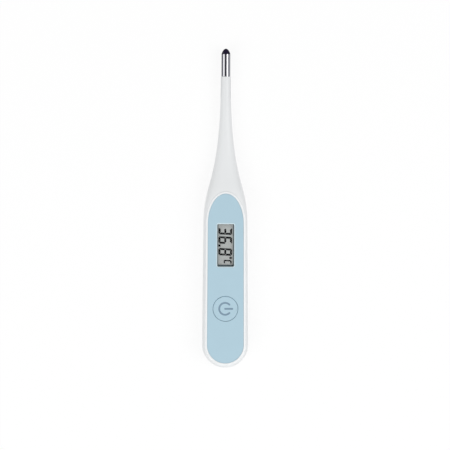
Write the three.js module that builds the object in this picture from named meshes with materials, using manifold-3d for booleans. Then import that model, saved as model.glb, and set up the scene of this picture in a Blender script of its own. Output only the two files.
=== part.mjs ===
// Digital thermometer: a pen-shaped white case with a blue front panel, a display window,
// one push button, a sliding battery door and a steel probe tip.
// Millimetres. It lies on its flat back: +Z points out of the display and +Y runs towards the probe tip.
// The origin is on the resting plane, under the middle of the overall length and width.

import * as THREE from "three";
import { mergeVertices } from "three/addons/utils/BufferGeometryUtils.js";
import Module from "manifold-3d";

const wasm = await Module();
wasm.setup();

// Body form
const overallLength = 128;
const tailRadius = 9.2; // half width at the round tail
const handleLength = 48.4; // from the centre of the round tail to the shoulder
const shoulderHalf = 8.77; // half width where the neck begins
const neckPullAtShoulder = 17.8; // how far the neck's curve keeps the shoulder's width
const neckPullAtStem = 42.9; // how far it keeps the stem's width
const stemRadius = 1.97;
const backDepth = 5.2; // resting plane to seam plane
const frontDepth = 5.2; // seam plane to the rim round the panel
const crownDepth = 6.1; // the front's own curve, before the rim plane cuts it
const bellyDepth = 5.6; // the back's own curve, before the resting plane cuts it
const frontPower = 5; // power of the section's curve: 2 is an ellipse
const backPower = 3.2;
const stemPower = 2;
const crownFallPower = 1.3; // above 1, the front falls away faster than the width along the neck
const ringSteps = 36; // points round one section, a multiple of 4
const neckSteps = 12;
const tailSteps = 6;
const cavitySteps = 24;

// Case walls and seams
const shellWall = 1.3;
const stemBore = 1; // radius of the lead channel
const frontWall = 1.1; // under the panel
const seamGap = 0.12;
const backSplit = 66.8; // rear end of the one-piece neck, measured from the tail's centre
const doorLength = 10.8; // from the tail's centre to the battery door's seam
const overrun = 1; // every cut passes its surface by this much

// Front panel
const panelTailHalf = 7.3;
const panelHeadHalf = 7.1;
const panelArchLength = 11.9;
const panelArchSetback = 48.6; // from the tail's centre to where the arch begins
const panelThickness = 0.85;
const panelSink = 0.15; // panel face below the rim
const panelGap = 0.15; // round the panel's edge
const panelEdge = 0.2; // rounding of its edges
const rimWidth = 0.8;
const rimStep = 0.15; // rim above the neck's facet
const adhesiveThickness = 0.1;
const adhesiveMargin = 0.4;
const outlineSteps = 9; // each arc gets twice this many sides
const cornerSteps = 3;

// Display window
const windowWidth = 6.9;
const windowLength = 17.1;
const windowSetback = 39.9; // from the tail's centre
const windowCorner = 0.5;
const lensGap = 0.1;
const lensSink = 0.3; // lens face below the panel
const lensFlange = 1.4; // how far the flange runs under the panel
const lensFlangeThickness = 0.5;
const lensPocketGap = 0.1;
const gasketThickness = 0.6;
const gasketBorder = 0.4; // dark border that shows inside the window
const gasketFlange = 0.6; // how far it runs outside the window
const gasketGap = 0.15;

// Display cell
const polariserThickness = 0.2;
const frontPolariserMargin = 0.3; // past the window
const glassThickness = 0.7;
const glassSideMargin = 0.45; // front glass past the dark frame, on each long side
const glassEndMargin = 0.85; // and at each end
const rearPolariserInset = 0.15;
const contactStripWidth = 1;
const contactStripInset = 0.1; // from the front glass's long edge
const contactStripGap = 0.3; // to the rear glass
const contactStripEndGap = 0.25; // to the holder's ledges
const holderWall = 1;
const holderGap = 0.15;
const holderDrop = 0.2; // below the glass face
const holderFoot = 0.7; // ledge that spaces the glass from the board's ends

// Button
const buttonSetback = 14.5; // from the tail's centre
const buttonRadius = 4.95;
const buttonHoleRadius = 5.2;
const buttonFlangeRadius = 5.7;
const buttonFlangeThickness = 0.45;
const buttonFlangeGap = 0.08; // under the panel
const buttonTravel = 0.5;
const buttonWellRadius = 5.95;
const buttonCupWall = 0.9;
const buttonLedgeRadius = 4.4; // opening in the ledge that stops the flange
const buttonLedgeThickness = 0.75;
const buttonSink = 0.05; // button edge below the panel face
const buttonDish = 0.16;
const buttonEdge = 0.2;
const buttonStemRadius = 1.4;
const buttonRibRadius = 3.4; // stiffening ring under the button
const buttonRibWall = 0.6;
const buttonRibDepth = 0.5;
const buttonSteps = 4;
const roundSteps = 36; // sides of a turned piece
const smallRoundSteps = 20;

// Switch under the button
const switchSide = 4.5;
const switchHeight = 1.3;
const switchCoverThickness = 0.15;
const switchCoverHole = 1.15; // radius
const switchWellRadius = 1.35;
const switchWellDepth = 0.75;
const plungerRadius = 1;
const plungerRise = 0.65; // above the cover
const plungerSeat = 0.35; // above the well's floor
const plungerHeadGap = 0.3; // to the button's stem
const switchLegLength = 0.8;
const switchLegWidth = 0.7;
const switchLegThickness = 0.2;

// Circuit board
const boardThickness = 1;
const boardHalf = 5.7;
const boardTailSetback = 7; // from the tail's centre
const boardShoulderSetback = 53.2;
const boardNoseSetback = 59.6;
const boardNoseHalf = 3.4;
const boardCorner = 0.8;
const screwShank = 0.55; // radius
const screwHeadRadius = 1.4;
const screwHeadHeight = 0.7;
const screwSlotWidth = 0.35;
const screwSlotDepth = 0.35;
const screwReach = 1.9; // into the boss
const screwPilotGap = 0.08;
const boardHoleGap = 0.25;
const bossRadius = 1.6;
const pilotDepth = 2.3;
const frontScrewSetback = 55.6;
const rearScrewSetback = 24.6;

// Parts on the board
const globRadius = 3.2;
const globHeight = 1;
const globSteps = 3;
const chipLength = 1.6;
const chipWidth = 0.8;
const resistorHeight = 0.45;
const capacitorHeight = 0.8;
const chipRows = 3;
const chipEndCap = 0.3;
const chipEndStep = 0.05; // end caps stand this much proud of the chip
const chipRibGap = 0.3; // row nearest the middle rib to that rib
const chipSpacing = 2.2;
const chipColumnHalf = 3.4;

// Buzzer on the back wall
const buzzerSetback = 24.4;
const buzzerPlateRadius = 4.5;
const buzzerPlateThickness = 0.25;
const buzzerDiscRadius = 3.1;
const buzzerDiscThickness = 0.2;
const buzzerWireRadius = 0.25;
const buzzerWireHalf = 1.1; // half the distance between the wires on the board
const buzzerWireRun = 3; // along the board, from the disc's centre to the solder points
const wireGap = 0.05; // wire end to what it is soldered on
const wireSteps = 8;
const wireSideSteps = 8;

// Button cell and its cradle
const cellRadius = 3.95;
const cellHeight = 3.6;
const cellCapRadius = 3.05;
const cellCapStep = 0.35; // cap above the can
const cellCanWall = 0.25;
const cellSealGap = 0.05;
const cellDoorGap = 0.3;
const cellEdge = 0.25;
const cellSetback = 0.3; // from the tail's centre, towards the tip
const cradleGap = 0.3;
const cradleWall = 0.9;
const cradleSlotHalf = 2;
const cradleDoorGap = 0.6; // cradle's free edge to the door's floor

// Cell contacts
const contactThickness = 0.25;
const contactWidth = 3;
const contactGap = 0.12; // to the cell
const contactFoot = 3; // soldered length on the board
const contactArchRise = 1.3; // above the board
const contactTipDrop = 0.35;
const contactTipLength = 1.4;
const sideContactBulge = 0.3;
const sideContactEndGap = 0.8; // leg end to the door's floor

// Battery door and its rails
const doorTongueHeight = 0.7;
const doorTongueReach = 1.15; // in from the inside of the door's wall
const doorTongueTop = 0.95; // below the seam plane
const doorTongueBack = 0.6; // tongue end to the door's seam
const railGap = 0.2;
const railThickness = 0.6;
const railLip = 0.65;
const railLipHeight = 0.7;
const railEndSetback = 0.9; // rail end past the tail's centre
const railTongueCover = 0.2; // tongue end inside the rail end
const doorLipLength = 1.6;
const doorLipHalf = 4.6;
const doorLipGap = 0.1; // all round the lip, in the rear shell's rebate
const gripGrooves = 5;
const gripSpacing = 1.6;
const gripWidth = 0.7;
const gripDepth = 0.35;
const gripHalf = 4.2;
const gripSetback = 1.2; // nearest groove to the tail's centre

// Rear shell's ribs and tabs
const ribThickness = 1;
const ribHalf = 5;
const ribBoardGap = 0.1;
const ribSetbacks = [18.2, 35.4, 50.4]; // from the tail's centre
const tabSetbacks = [19, 45];
const tabLength = 5;
const tabThickness = 0.7;
const tabRise = 1.4; // above the seam
const tabRoot = 1.6; // below the seam
const tabGap = 0.2; // to the front shell's wall

// Probe tip
const tipLength = 11.6;
const tipRadius = 1.75;
const tipWall = 0.2;
const tipNoseLength = 2.6;
const tipSeatGap = 0.06;
const tipNoseSteps = 7;
const tipLiningSteps = 4;
const spigotLength = 5.2;
const spigotGap = 0.06;
const tipSteps = 24;
const pottingGap = 0.1;
const pottingFront = 1.4; // solid potting between the pocket and the tip's end
const pottingPocket = 0.95; // radius
const pottingPocketDepth = 3.9;
const beadRadius = 0.72;
const beadGap = 0.1;
const beadLength = 1.9;
const beadSteps = 12;
const leadRadius = 0.22;
const leadHalf = 0.42; // half the distance between the two leads in the stem
const leadBoardHalf = 1; // and on the board
const leadSteps = 18;
const leadSolderSetback = 57.4; // from the tail's centre

// Places that follow from the sizes
const noseY = overallLength / 2;
const tailY = tailRadius - overallLength / 2; // centre of the round tail
const shoulderY = tailY + handleLength;
const stemEndY = noseY - tipLength;
const splitY = tailY + backSplit;
const doorY = tailY + doorLength;
const windowY = tailY + windowSetback;
const buttonY = tailY + buttonSetback;
const cellY = tailY + cellSetback;
const archY = tailY + panelArchSetback;
const seamZ = backDepth;
const rimZ = seamZ + frontDepth;
const panelTopZ = rimZ - panelSink;
const panelBottomZ = panelTopZ - panelThickness;
const recessZ = panelBottomZ - adhesiveThickness;
const ceilingZ = recessZ - frontWall;
const lensLedgeZ = recessZ - lensFlangeThickness;
const lensTopZ = panelTopZ - lensSink;
const displayTopZ = lensLedgeZ - gasketThickness;
const frontGlassTopZ = displayTopZ - polariserThickness;
const frontGlassZ = frontGlassTopZ - glassThickness;
const rearGlassZ = frontGlassZ - glassThickness;
const boardTopZ = seamZ;
const boardBottomZ = boardTopZ - boardThickness;
const switchTopZ = boardTopZ + switchHeight;
const plungerTopZ = switchTopZ + switchCoverThickness + plungerRise;
const cellBottomZ = shellWall + cellDoorGap;
const cellTopZ = cellBottomZ + cellHeight;
const stemWall = stemRadius - stemBore;
const spigotRadius = tipRadius - tipWall - spigotGap;
const buttonFlangeTopZ = panelBottomZ - buttonFlangeGap;
const buttonFlangeZ = buttonFlangeTopZ - buttonFlangeThickness;
const buttonLedgeZ = buttonFlangeZ - buttonTravel - buttonFlangeGap;
const doorLapZ = shellWall / 2;
const pottingPocketY = noseY - tipWall - pottingGap - pottingFront;
const beadRearY = pottingPocketY - beadGap - beadLength;

// Finishes
function finish(color, roughness, metalness = 0) {
  return new THREE.MeshStandardMaterial({ color, roughness, metalness });
}

function clearFinish(color, roughness, opacity) {
  return new THREE.MeshStandardMaterial({ color, roughness, metalness: 0, transparent: true, opacity });
}

const finishes = {
  white: finish(0xe6e9ea, 0.32),
  blue: finish(0xb1cedc, 0.5),
  clear: clearFinish(0xdfe6e6, 0.08, 0.35),
  steel: finish(0xc9cbce, 0.16, 1),
  black: finish(0x222425, 0.7),
  displayGrey: finish(0xa6a7a5, 0.35),
  glass: clearFinish(0xc8d2cf, 0.06, 0.4),
  board: finish(0x1f5f3c, 0.45),
  nickel: finish(0xbdbbb2, 0.28, 1),
  brass: finish(0xc6a35a, 0.3, 1),
  ceramic: finish(0xdedbd2, 0.5),
  rubber: finish(0x8f9296, 0.75),
  resin: finish(0x2b2622, 0.35),
  tape: finish(0xd9d8d0, 0.8),
  wire: finish(0x9c3b30, 0.5),
};

// Solids from geometry and back
function solid(geometry) {
  const bare = new THREE.BufferGeometry();
  bare.setAttribute("position", geometry.getAttribute("position"));
  bare.setIndex(geometry.index);
  const merged = mergeVertices(bare);
  return new wasm.Manifold(
    new wasm.Mesh({
      numProp: 3,
      vertProperties: merged.attributes.position.array,
      triVerts: new Uint32Array(merged.index.array),
    }),
  );
}

function geometryOf(body) {
  const mesh = body.getMesh();
  const geometry = new THREE.BufferGeometry();
  geometry.setAttribute("position", new THREE.BufferAttribute(mesh.vertProperties, mesh.numProp));
  geometry.setIndex(new THREE.BufferAttribute(mesh.triVerts, 1));
  geometry.computeVertexNormals();
  return geometry;
}

const thermometer = new THREE.Group();

function add(name, shape, finishName) {
  const geometry = shape.isBufferGeometry ? shape : geometryOf(shape);
  const mesh = new THREE.Mesh(geometry, finishes[finishName]);
  mesh.name = name;
  thermometer.add(mesh);
}

// Simple shapes
function box(x0, x1, y0, y1, z0, z1) {
  const geometry = new THREE.BoxGeometry(x1 - x0, y1 - y0, z1 - z0);
  return solid(geometry.translate((x0 + x1) / 2, (y0 + y1) / 2, (z0 + z1) / 2));
}

function block(half, y0, y1, z0, z1) {
  return box(-half, half, y0, y1, z0, z1);
}

// A flat outline, raised from z0 to z1
function prism(outline, z0, z1) {
  const geometry = new THREE.ExtrudeGeometry(outline, {
    depth: z1 - z0,
    bevelEnabled: false,
    curveSegments: outlineSteps,
  });
  return solid(geometry.translate(0, 0, z0));
}

function rectangle(width, length, y, corner) {
  const halfWidth = width / 2;
  const halfLength = length / 2;
  const points = [];
  for (let quarter = 0; quarter < 4; quarter++) {
    const across = quarter === 0 || quarter === 3 ? 1 : -1;
    const along = quarter < 2 ? 1 : -1;
    for (let step = 0; step <= cornerSteps; step++) {
      const angle = (quarter + step / cornerSteps) * (Math.PI / 2);
      points.push(
        new THREE.Vector2(
          across * (halfWidth - corner) + corner * Math.cos(angle),
          y + along * (halfLength - corner) + corner * Math.sin(angle),
        ),
      );
    }
  }
  return new THREE.Shape(points);
}

function frame(outline, ...holes) {
  outline.holes.push(...holes);
  return outline;
}

function circle(radius, y) {
  const outline = new THREE.Shape();
  outline.absarc(0, y, radius, 0, Math.PI);
  outline.absarc(0, y, radius, Math.PI, 2 * Math.PI);
  return outline;
}

// A profile of [radius, height] pairs, turned about a vertical axis at x, y
function turned(profile, x, y, sides = roundSteps) {
  const points = profile.map(([radius, height]) => new THREE.Vector2(radius, height));
  const geometry = new THREE.LatheGeometry(points, sides);
  return solid(geometry.rotateX(Math.PI / 2).translate(x, y, 0));
}

// The same profile turned about the stem's axis, with its heights along Y
function turnedAlongStem(profile) {
  const points = profile.map(([radius, y]) => new THREE.Vector2(radius, y));
  return solid(new THREE.LatheGeometry(points, tipSteps).translate(0, 0, seamZ));
}

function post(radius, x, y, z0, z1, sides = smallRoundSteps) {
  return turned([[0, z0], [radius, z0], [radius, z1], [0, z1]], x, y, sides);
}

// A round wire along a smooth route
function wire(points, radius, steps) {
  return new THREE.ExtrudeGeometry(new THREE.Shape().absarc(0, 0, radius, 0, 2 * Math.PI), {
    steps,
    curveSegments: wireSideSteps / 2,
    bevelEnabled: false,
    extrudePath: new THREE.CatmullRomCurve3(points),
  });
}

// A strip of sheet metal, bent along [y, z] points and centred on x = 0
function bentStrip(route, thickness, width) {
  const line = route.map(([y, z]) => new THREE.Vector2(y, z));
  const side = (from, to) => new THREE.Vector2(from.y - to.y, to.x - from.x).normalize();
  const offset = line.map((point, i) => {
    const before = i > 0 ? side(line[i - 1], point) : side(point, line[i + 1]);
    const after = i < line.length - 1 ? side(point, line[i + 1]) : before;
    const mitre = before.clone().add(after).normalize();
    return point.clone().addScaledVector(mitre, thickness / mitre.dot(before));
  });
  const geometry = new THREE.ExtrudeGeometry(new THREE.Shape([...line, ...offset.reverse()]), {
    depth: width,
    bevelEnabled: false,
  });
  const upright = new THREE.Matrix4().makeBasis(
    new THREE.Vector3(0, 1, 0),
    new THREE.Vector3(0, 0, 1),
    new THREE.Vector3(1, 0, 0),
  );
  return geometry.applyMatrix4(upright).translate(-width / 2, 0, 0);
}

// A closed skin over rings of equal length, laid from the tip towards the tail
function skin(rings) {
  const count = rings[0].length;
  const position = rings.flat().flatMap(([x, y, z]) => [x, y, z]);
  const index = [];
  for (let ring = 0; ring < rings.length - 1; ring++) {
    for (let i = 0; i < count; i++) {
      const next = (i + 1) % count;
      const a = ring * count + i;
      const b = ring * count + next;
      index.push(a, b, a + count, b, b + count, a + count);
    }
  }
  const centre = position.length / 3;
  position.push(0, rings[0][0][1], seamZ);
  for (let i = 0; i < count; i++) {
    index.push(centre, (i + 1) % count, i);
  }
  const geometry = new THREE.BufferGeometry();
  geometry.setAttribute("position", new THREE.Float32BufferAttribute(position, 3));
  geometry.setIndex(index);
  return solid(geometry);
}

// Body stations: half widths along Y, from the stem to the centre of the tail
function bodyStations() {
  const neck = new THREE.CubicBezierCurve(
    new THREE.Vector2(stemRadius, stemEndY),
    new THREE.Vector2(stemRadius, stemEndY - neckPullAtStem),
    new THREE.Vector2(shoulderHalf, shoulderY + neckPullAtShoulder),
    new THREE.Vector2(shoulderHalf, shoulderY),
  );
  const stations = neck.getPoints(neckSteps).map((point) => ({ y: point.y, half: point.x }));
  return [...stations, { y: tailY, half: tailRadius }];
}

// One section of the body: squared ellipses above and below the seam, each with its own power
function sectionRing(y, half, up, down, upPower, downPower, points) {
  const ring = [];
  for (let i = 0; i < points; i++) {
    const angle = (2 * Math.PI * i) / points;
    const across = Math.cos(angle);
    const rise = Math.sin(angle);
    const power = 2 / (rise > 0 ? upPower : downPower);
    const depth = rise > 0 ? up : down;
    ring.push([
      half * Math.sign(across) * Math.abs(across) ** power,
      y,
      seamZ + depth * Math.sign(rise) * Math.abs(rise) ** power,
    ]);
  }
  return ring;
}

// The section at a station, taken in by a wall that thins from the handle's to the stem's
function stationRing(station, handleWall, neckWall, points) {
  const fullness = Math.min(1, (station.half - stemRadius) / (shoulderHalf - stemRadius));
  const wall = neckWall + (handleWall - neckWall) * fullness;
  const square = fullness * fullness;
  return sectionRing(
    station.y,
    station.half - wall,
    stemRadius + (crownDepth - stemRadius) * fullness ** crownFallPower - wall,
    stemRadius + (bellyDepth - stemRadius) * fullness - wall,
    stemPower + (frontPower - stemPower) * square,
    stemPower + (backPower - stemPower) * square,
    points,
  );
}

// The last section swept round the tail's centre until its two sides meet
function tailRings(lastRing) {
  const rings = [];
  for (let step = 1; step <= tailSteps; step++) {
    const angle = (step / tailSteps) * (Math.PI / 2);
    rings.push(
      lastRing.map(([x, , z]) => [x * Math.cos(angle), tailY - Math.abs(x) * Math.sin(angle), z]),
    );
  }
  return rings;
}

function bodySkin(handleWall, neckWall, points, leadingRings) {
  const rings = bodyStations().map((station) => stationRing(station, handleWall, neckWall, points));
  return skin([...leadingRings, ...rings, ...tailRings(rings.at(-1))]);
}

function stemRing(y, radius, points) {
  return sectionRing(y, radius, radius, radius, stemPower, stemPower, points);
}

// The whole body before it is split, and the room inside it
const span = overallLength; // reaches past the body in every direction
const panelOutline = (inset) => {
  const tail = panelTailHalf - inset;
  const head = panelHeadHalf - inset;
  const outline = new THREE.Shape();
  outline.moveTo(tail, tailY);
  outline.lineTo(head, archY);
  outline.absellipse(0, archY, head, panelArchLength - inset, 0, Math.PI);
  outline.lineTo(-tail, tailY);
  outline.absarc(0, tailY, tail, Math.PI, 2 * Math.PI);
  return outline;
};

function wholeBody() {
  const spigot = [
    stemRing(stemEndY + spigotLength, spigotRadius, ringSteps),
    stemRing(stemEndY, spigotRadius, ringSteps),
  ];
  const form = bodySkin(0, 0, ringSteps, spigot);
  const flats = block(span, -span, span, 0, rimZ - rimStep);
  return form.intersect(flats).add(prism(panelOutline(-rimWidth), seamZ, rimZ));
}

function insideRoom() {
  const channel = [stemRing(stemEndY + spigotLength + overrun, stemBore, cavitySteps)];
  const room = bodySkin(shellWall, stemWall, cavitySteps, channel);
  return room.intersect(block(span, -span, span, shellWall, ceilingZ));
}

const body = wholeBody();
const room = insideRoom();
const behindSeam = block(span, -span, splitY, -overrun, seamZ);

// Front shell with the neck and stem
const lensPocketWidth = windowWidth + 2 * (lensFlange + lensPocketGap);
const lensPocketLength = windowLength + 2 * (lensFlange + lensPocketGap);
const gasketWidth = windowWidth + 2 * gasketFlange;
const gasketLength = windowLength + 2 * gasketFlange;
const glassWidth = gasketWidth + 2 * glassSideMargin;
const glassLength = gasketLength + 2 * glassEndMargin;
const rearGlassWidth = glassWidth - 2 * (contactStripInset + contactStripWidth + contactStripGap);
const holderWellLength = glassLength + 2 * (holderGap - holderFoot);
const contactStripLength = holderWellLength - 2 * contactStripEndGap;
const screwSetbacks = [frontScrewSetback, rearScrewSetback];
const tongueTopZ = seamZ - doorTongueTop;
const tongueBottomZ = tongueTopZ - doorTongueHeight;
const tongueInner = tailRadius - shellWall - doorTongueReach;
const railOuter = tongueInner - railGap;
const railLipTopZ = tongueBottomZ - railGap;
const railEndY = tailY - railEndSetback;

function panelRecess() {
  return prism(panelOutline(-panelGap / 2), recessZ, rimZ + overrun);
}

function windowCut() {
  const opening = rectangle(
    gasketWidth + 2 * gasketGap,
    gasketLength + 2 * gasketGap,
    windowY,
    windowCorner,
  );
  const pocket = rectangle(lensPocketWidth, lensPocketLength, windowY, windowCorner);
  return prism(opening, ceilingZ - overrun, recessZ).add(prism(pocket, lensLedgeZ, recessZ + overrun));
}

// A leg down from the front wall with a lip that carries the door's tongue
function doorRail(side) {
  const inner = railOuter - railThickness;
  const leg = box(inner, railOuter, railEndY, doorY, railLipTopZ - railLipHeight, recessZ);
  const lip = box(inner, railOuter + railLip, railEndY, doorY, railLipTopZ - railLipHeight, railLipTopZ);
  const rail = leg.add(lip);
  return side > 0 ? rail : rail.mirror([1, 0, 0]);
}

function cellCradle() {
  const inner = cellRadius + cradleGap;
  const edge = shellWall + cradleDoorGap;
  const wall = post(inner + cradleWall, 0, cellY, edge, recessZ, roundSteps);
  const slot = block(cradleSlotHalf, cellY, cellY + inner + cradleWall + overrun, edge - overrun, ceilingZ);
  return wall.subtract(post(inner, 0, cellY, edge - overrun, ceilingZ, roundSteps)).subtract(slot);
}

// A cup for the button's flange, with a ledge that ends its travel
function addButtonCup(shell) {
  const outer = buttonWellRadius + buttonCupWall;
  const bottom = buttonLedgeZ - buttonLedgeThickness;
  const cup = post(outer, 0, buttonY, bottom, recessZ, roundSteps);
  const well = post(buttonWellRadius, 0, buttonY, buttonLedgeZ, rimZ, roundSteps);
  const opening = post(buttonLedgeRadius, 0, buttonY, bottom - overrun, rimZ, roundSteps);
  return shell.add(cup).subtract(well).subtract(opening);
}

function frontShell() {
  let shell = body.subtract(behindSeam).subtract(room).subtract(panelRecess()).subtract(windowCut());
  shell = addButtonCup(shell).add(cellCradle()).add(doorRail(1)).add(doorRail(-1));
  for (const setback of screwSetbacks) {
    const y = tailY + setback;
    shell = shell.add(post(bossRadius, 0, y, boardTopZ, recessZ - lensPocketGap));
    shell = shell.subtract(
      post(screwShank + screwPilotGap, 0, y, boardTopZ - overrun, boardTopZ + pilotDepth),
    );
  }
  return shell;
}

// Rear shell: the back of the handle, with ribs under the board and tabs that key it to the front
function boardRib(setback) {
  const y = tailY + setback;
  const half = ribThickness / 2;
  return block(ribHalf, y - half, y + half, shellWall / 2, boardBottomZ - ribBoardGap);
}

function halfWidthAt(setback) {
  return tailRadius + ((shoulderHalf - tailRadius) * setback) / handleLength;
}

function keyTab(setback, side) {
  const tail = tailY + setback - tabLength / 2;
  const head = tail + tabLength;
  const outer = halfWidthAt(setback) - shellWall - tabGap;
  const inner = outer - tabThickness;
  const bottom = seamZ - tabRoot;
  const tab = box(inner, outer, tail, head, bottom, seamZ + tabRise);
  const root = box(inner, outer + shellWall, tail, head, bottom, seamZ - seamGap);
  const both = tab.add(root.intersect(body));
  return side > 0 ? both : both.mirror([1, 0, 0]);
}

function rearShell() {
  const region = block(span, doorY + seamGap / 2, splitY - seamGap, -overrun, seamZ - seamGap);
  const lapHalf = doorLipHalf + doorLipGap;
  const lapEnd = doorY + doorLipLength + doorLipGap;
  const lap = block(lapHalf, doorY - overrun, lapEnd, doorLapZ, shellWall + overrun);
  let shell = body.intersect(region).subtract(room).subtract(lap);
  for (const setback of ribSetbacks) {
    shell = shell.add(boardRib(setback));
  }
  for (const setback of tabSetbacks) {
    shell = shell.add(keyTab(setback, 1)).add(keyTab(setback, -1));
  }
  return shell;
}

// Battery door: the back of the tail, which slides off along its two tongues
function doorTongue(side) {
  const wallHalf = tailRadius - shellWall / 2;
  const tongue = box(
    tongueInner,
    wallHalf,
    railEndY + railTongueCover,
    doorY - doorTongueBack,
    tongueBottomZ,
    tongueTopZ,
  ).intersect(body);
  return side > 0 ? tongue : tongue.mirror([1, 0, 0]);
}

// A lip at the door's end, half as thick as the wall, that laps into the rear shell
function doorLip() {
  return block(doorLipHalf, doorY - doorLipLength, doorY + doorLipLength, doorLapZ + doorLipGap, shellWall);
}

function batteryDoor() {
  const region = block(span, -span, doorY - seamGap / 2, -overrun, seamZ - seamGap);
  let door = body.intersect(region).subtract(room);
  door = door.add(doorTongue(1)).add(doorTongue(-1)).add(doorLip());
  for (let groove = 0; groove < gripGrooves; groove++) {
    const y = tailY + gripSetback + groove * gripSpacing;
    door = door.subtract(block(gripHalf, y, y + gripWidth, -overrun, gripDepth));
  }
  return door;
}

// Front panel, its adhesive and the display window
function frontPanel() {
  const inset = panelGap / 2 + panelEdge;
  const opening = rectangle(
    windowWidth + 2 * panelEdge,
    windowLength + 2 * panelEdge,
    windowY,
    windowCorner + panelEdge,
  );
  const outline = frame(panelOutline(inset), opening, circle(buttonHoleRadius + panelEdge, buttonY));
  const geometry = new THREE.ExtrudeGeometry(outline, {
    depth: panelThickness - 2 * panelEdge,
    bevelThickness: panelEdge,
    bevelSize: panelEdge,
    bevelSegments: 2,
    curveSegments: outlineSteps,
  });
  return solid(geometry.translate(0, 0, panelBottomZ + panelEdge));
}

function panelAdhesive() {
  const opening = rectangle(
    windowWidth + 2 * adhesiveMargin,
    windowLength + 2 * adhesiveMargin,
    windowY,
    windowCorner + adhesiveMargin,
  );
  const well = circle(buttonWellRadius + adhesiveMargin, buttonY);
  return prism(frame(panelOutline(adhesiveMargin), opening, well), recessZ, panelBottomZ);
}

function displayWindow() {
  const flangeWidth = windowWidth + 2 * lensFlange;
  const flangeLength = windowLength + 2 * lensFlange;
  const faceWidth = windowWidth - 2 * lensGap;
  const faceLength = windowLength - 2 * lensGap;
  const flange = rectangle(flangeWidth, flangeLength, windowY, windowCorner);
  const face = rectangle(faceWidth, faceLength, windowY, windowCorner - lensGap);
  return prism(flange, lensLedgeZ, recessZ).add(prism(face, lensLedgeZ, lensTopZ));
}

function displayGasket() {
  const opening = rectangle(
    windowWidth - 2 * gasketBorder,
    windowLength - 2 * gasketBorder,
    windowY,
    windowCorner,
  );
  const outer = rectangle(gasketWidth, gasketLength, windowY, windowCorner);
  return prism(frame(outer, opening), displayTopZ, lensLedgeZ);
}

// Display cell: two glasses between polarisers, held in a frame and joined to the board by rubber strips
function plate(width, length, z0, z1) {
  return block(width / 2, windowY - length / 2, windowY + length / 2, z0, z1);
}

function displayHolder() {
  const width = glassWidth + 2 * holderGap;
  const length = glassLength + 2 * holderGap;
  const top = frontGlassTopZ - holderDrop;
  const outer = plate(width + 2 * holderWall, length + 2 * holderWall, boardTopZ, top);
  const pocket = plate(width, length, frontGlassZ - holderGap, top + overrun);
  const well = plate(width, holderWellLength, boardTopZ - overrun, top);
  return outer.subtract(pocket).subtract(well);
}

function contactStrip(side) {
  const outer = glassWidth / 2 - contactStripInset;
  const half = contactStripLength / 2;
  const strip = box(outer - contactStripWidth, outer, windowY - half, windowY + half, boardTopZ, frontGlassZ);
  return side > 0 ? strip : strip.mirror([1, 0, 0]);
}

function addDisplay() {
  const filmWidth = windowWidth + 2 * frontPolariserMargin;
  const filmLength = windowLength + 2 * frontPolariserMargin;
  const backWidth = rearGlassWidth - 2 * rearPolariserInset;
  const backLength = glassLength - 2 * (rearPolariserInset + holderFoot);
  const backZ = rearGlassZ - polariserThickness;
  const frontGlass = plate(glassWidth, glassLength, frontGlassZ, frontGlassTopZ);
  const rearGlass = plate(rearGlassWidth, glassLength - 2 * holderFoot, rearGlassZ, frontGlassZ);
  add("display_front_polariser", plate(filmWidth, filmLength, frontGlassTopZ, displayTopZ), "displayGrey");
  add("display_front_glass", frontGlass, "glass");
  add("display_rear_glass", rearGlass, "glass");
  add("display_rear_polariser", plate(backWidth, backLength, backZ, rearGlassZ), "displayGrey");
  add("display_holder", displayHolder(), "black");
  add("contact_strip_left", contactStrip(-1), "rubber");
  add("contact_strip_right", contactStrip(1), "rubber");
}

// Power button, with a shallow dish for the fingertip and a stem down to the switch
function powerButton() {
  const edgeZ = panelTopZ - buttonSink;
  const stemBottom = plungerTopZ + plungerHeadGap;
  const ribOuter = buttonRibRadius + buttonRibWall;
  const ribBottom = buttonFlangeZ - buttonRibDepth;
  const profile = [
    [0, stemBottom],
    [buttonStemRadius, stemBottom],
    [buttonStemRadius, buttonFlangeZ],
    [buttonRibRadius, buttonFlangeZ],
    [buttonRibRadius, ribBottom],
    [ribOuter, ribBottom],
    [ribOuter, buttonFlangeZ],
    [buttonFlangeRadius, buttonFlangeZ],
    [buttonFlangeRadius, buttonFlangeTopZ],
    [buttonRadius, buttonFlangeTopZ],
    [buttonRadius, edgeZ - buttonEdge],
    [buttonRadius - buttonEdge, edgeZ],
  ];
  const dishRadius = buttonRadius - buttonEdge;
  for (let step = buttonSteps - 1; step >= 0; step--) {
    const share = step / buttonSteps;
    profile.push([dishRadius * share, edgeZ - buttonDish * (1 - share * share)]);
  }
  return turned(profile, 0, buttonY);
}

// One soldered leg of the switch: side and end are 1 or -1
function switchLeg(side, end) {
  const half = switchSide / 2;
  const y = buttonY + end * (half - switchLegWidth);
  const tail = y - switchLegWidth / 2;
  const leg = box(
    half - switchLegThickness,
    half + switchLegLength,
    tail,
    tail + switchLegWidth,
    boardTopZ,
    boardTopZ + switchLegThickness,
  );
  return side > 0 ? leg : leg.mirror([1, 0, 0]);
}

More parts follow.
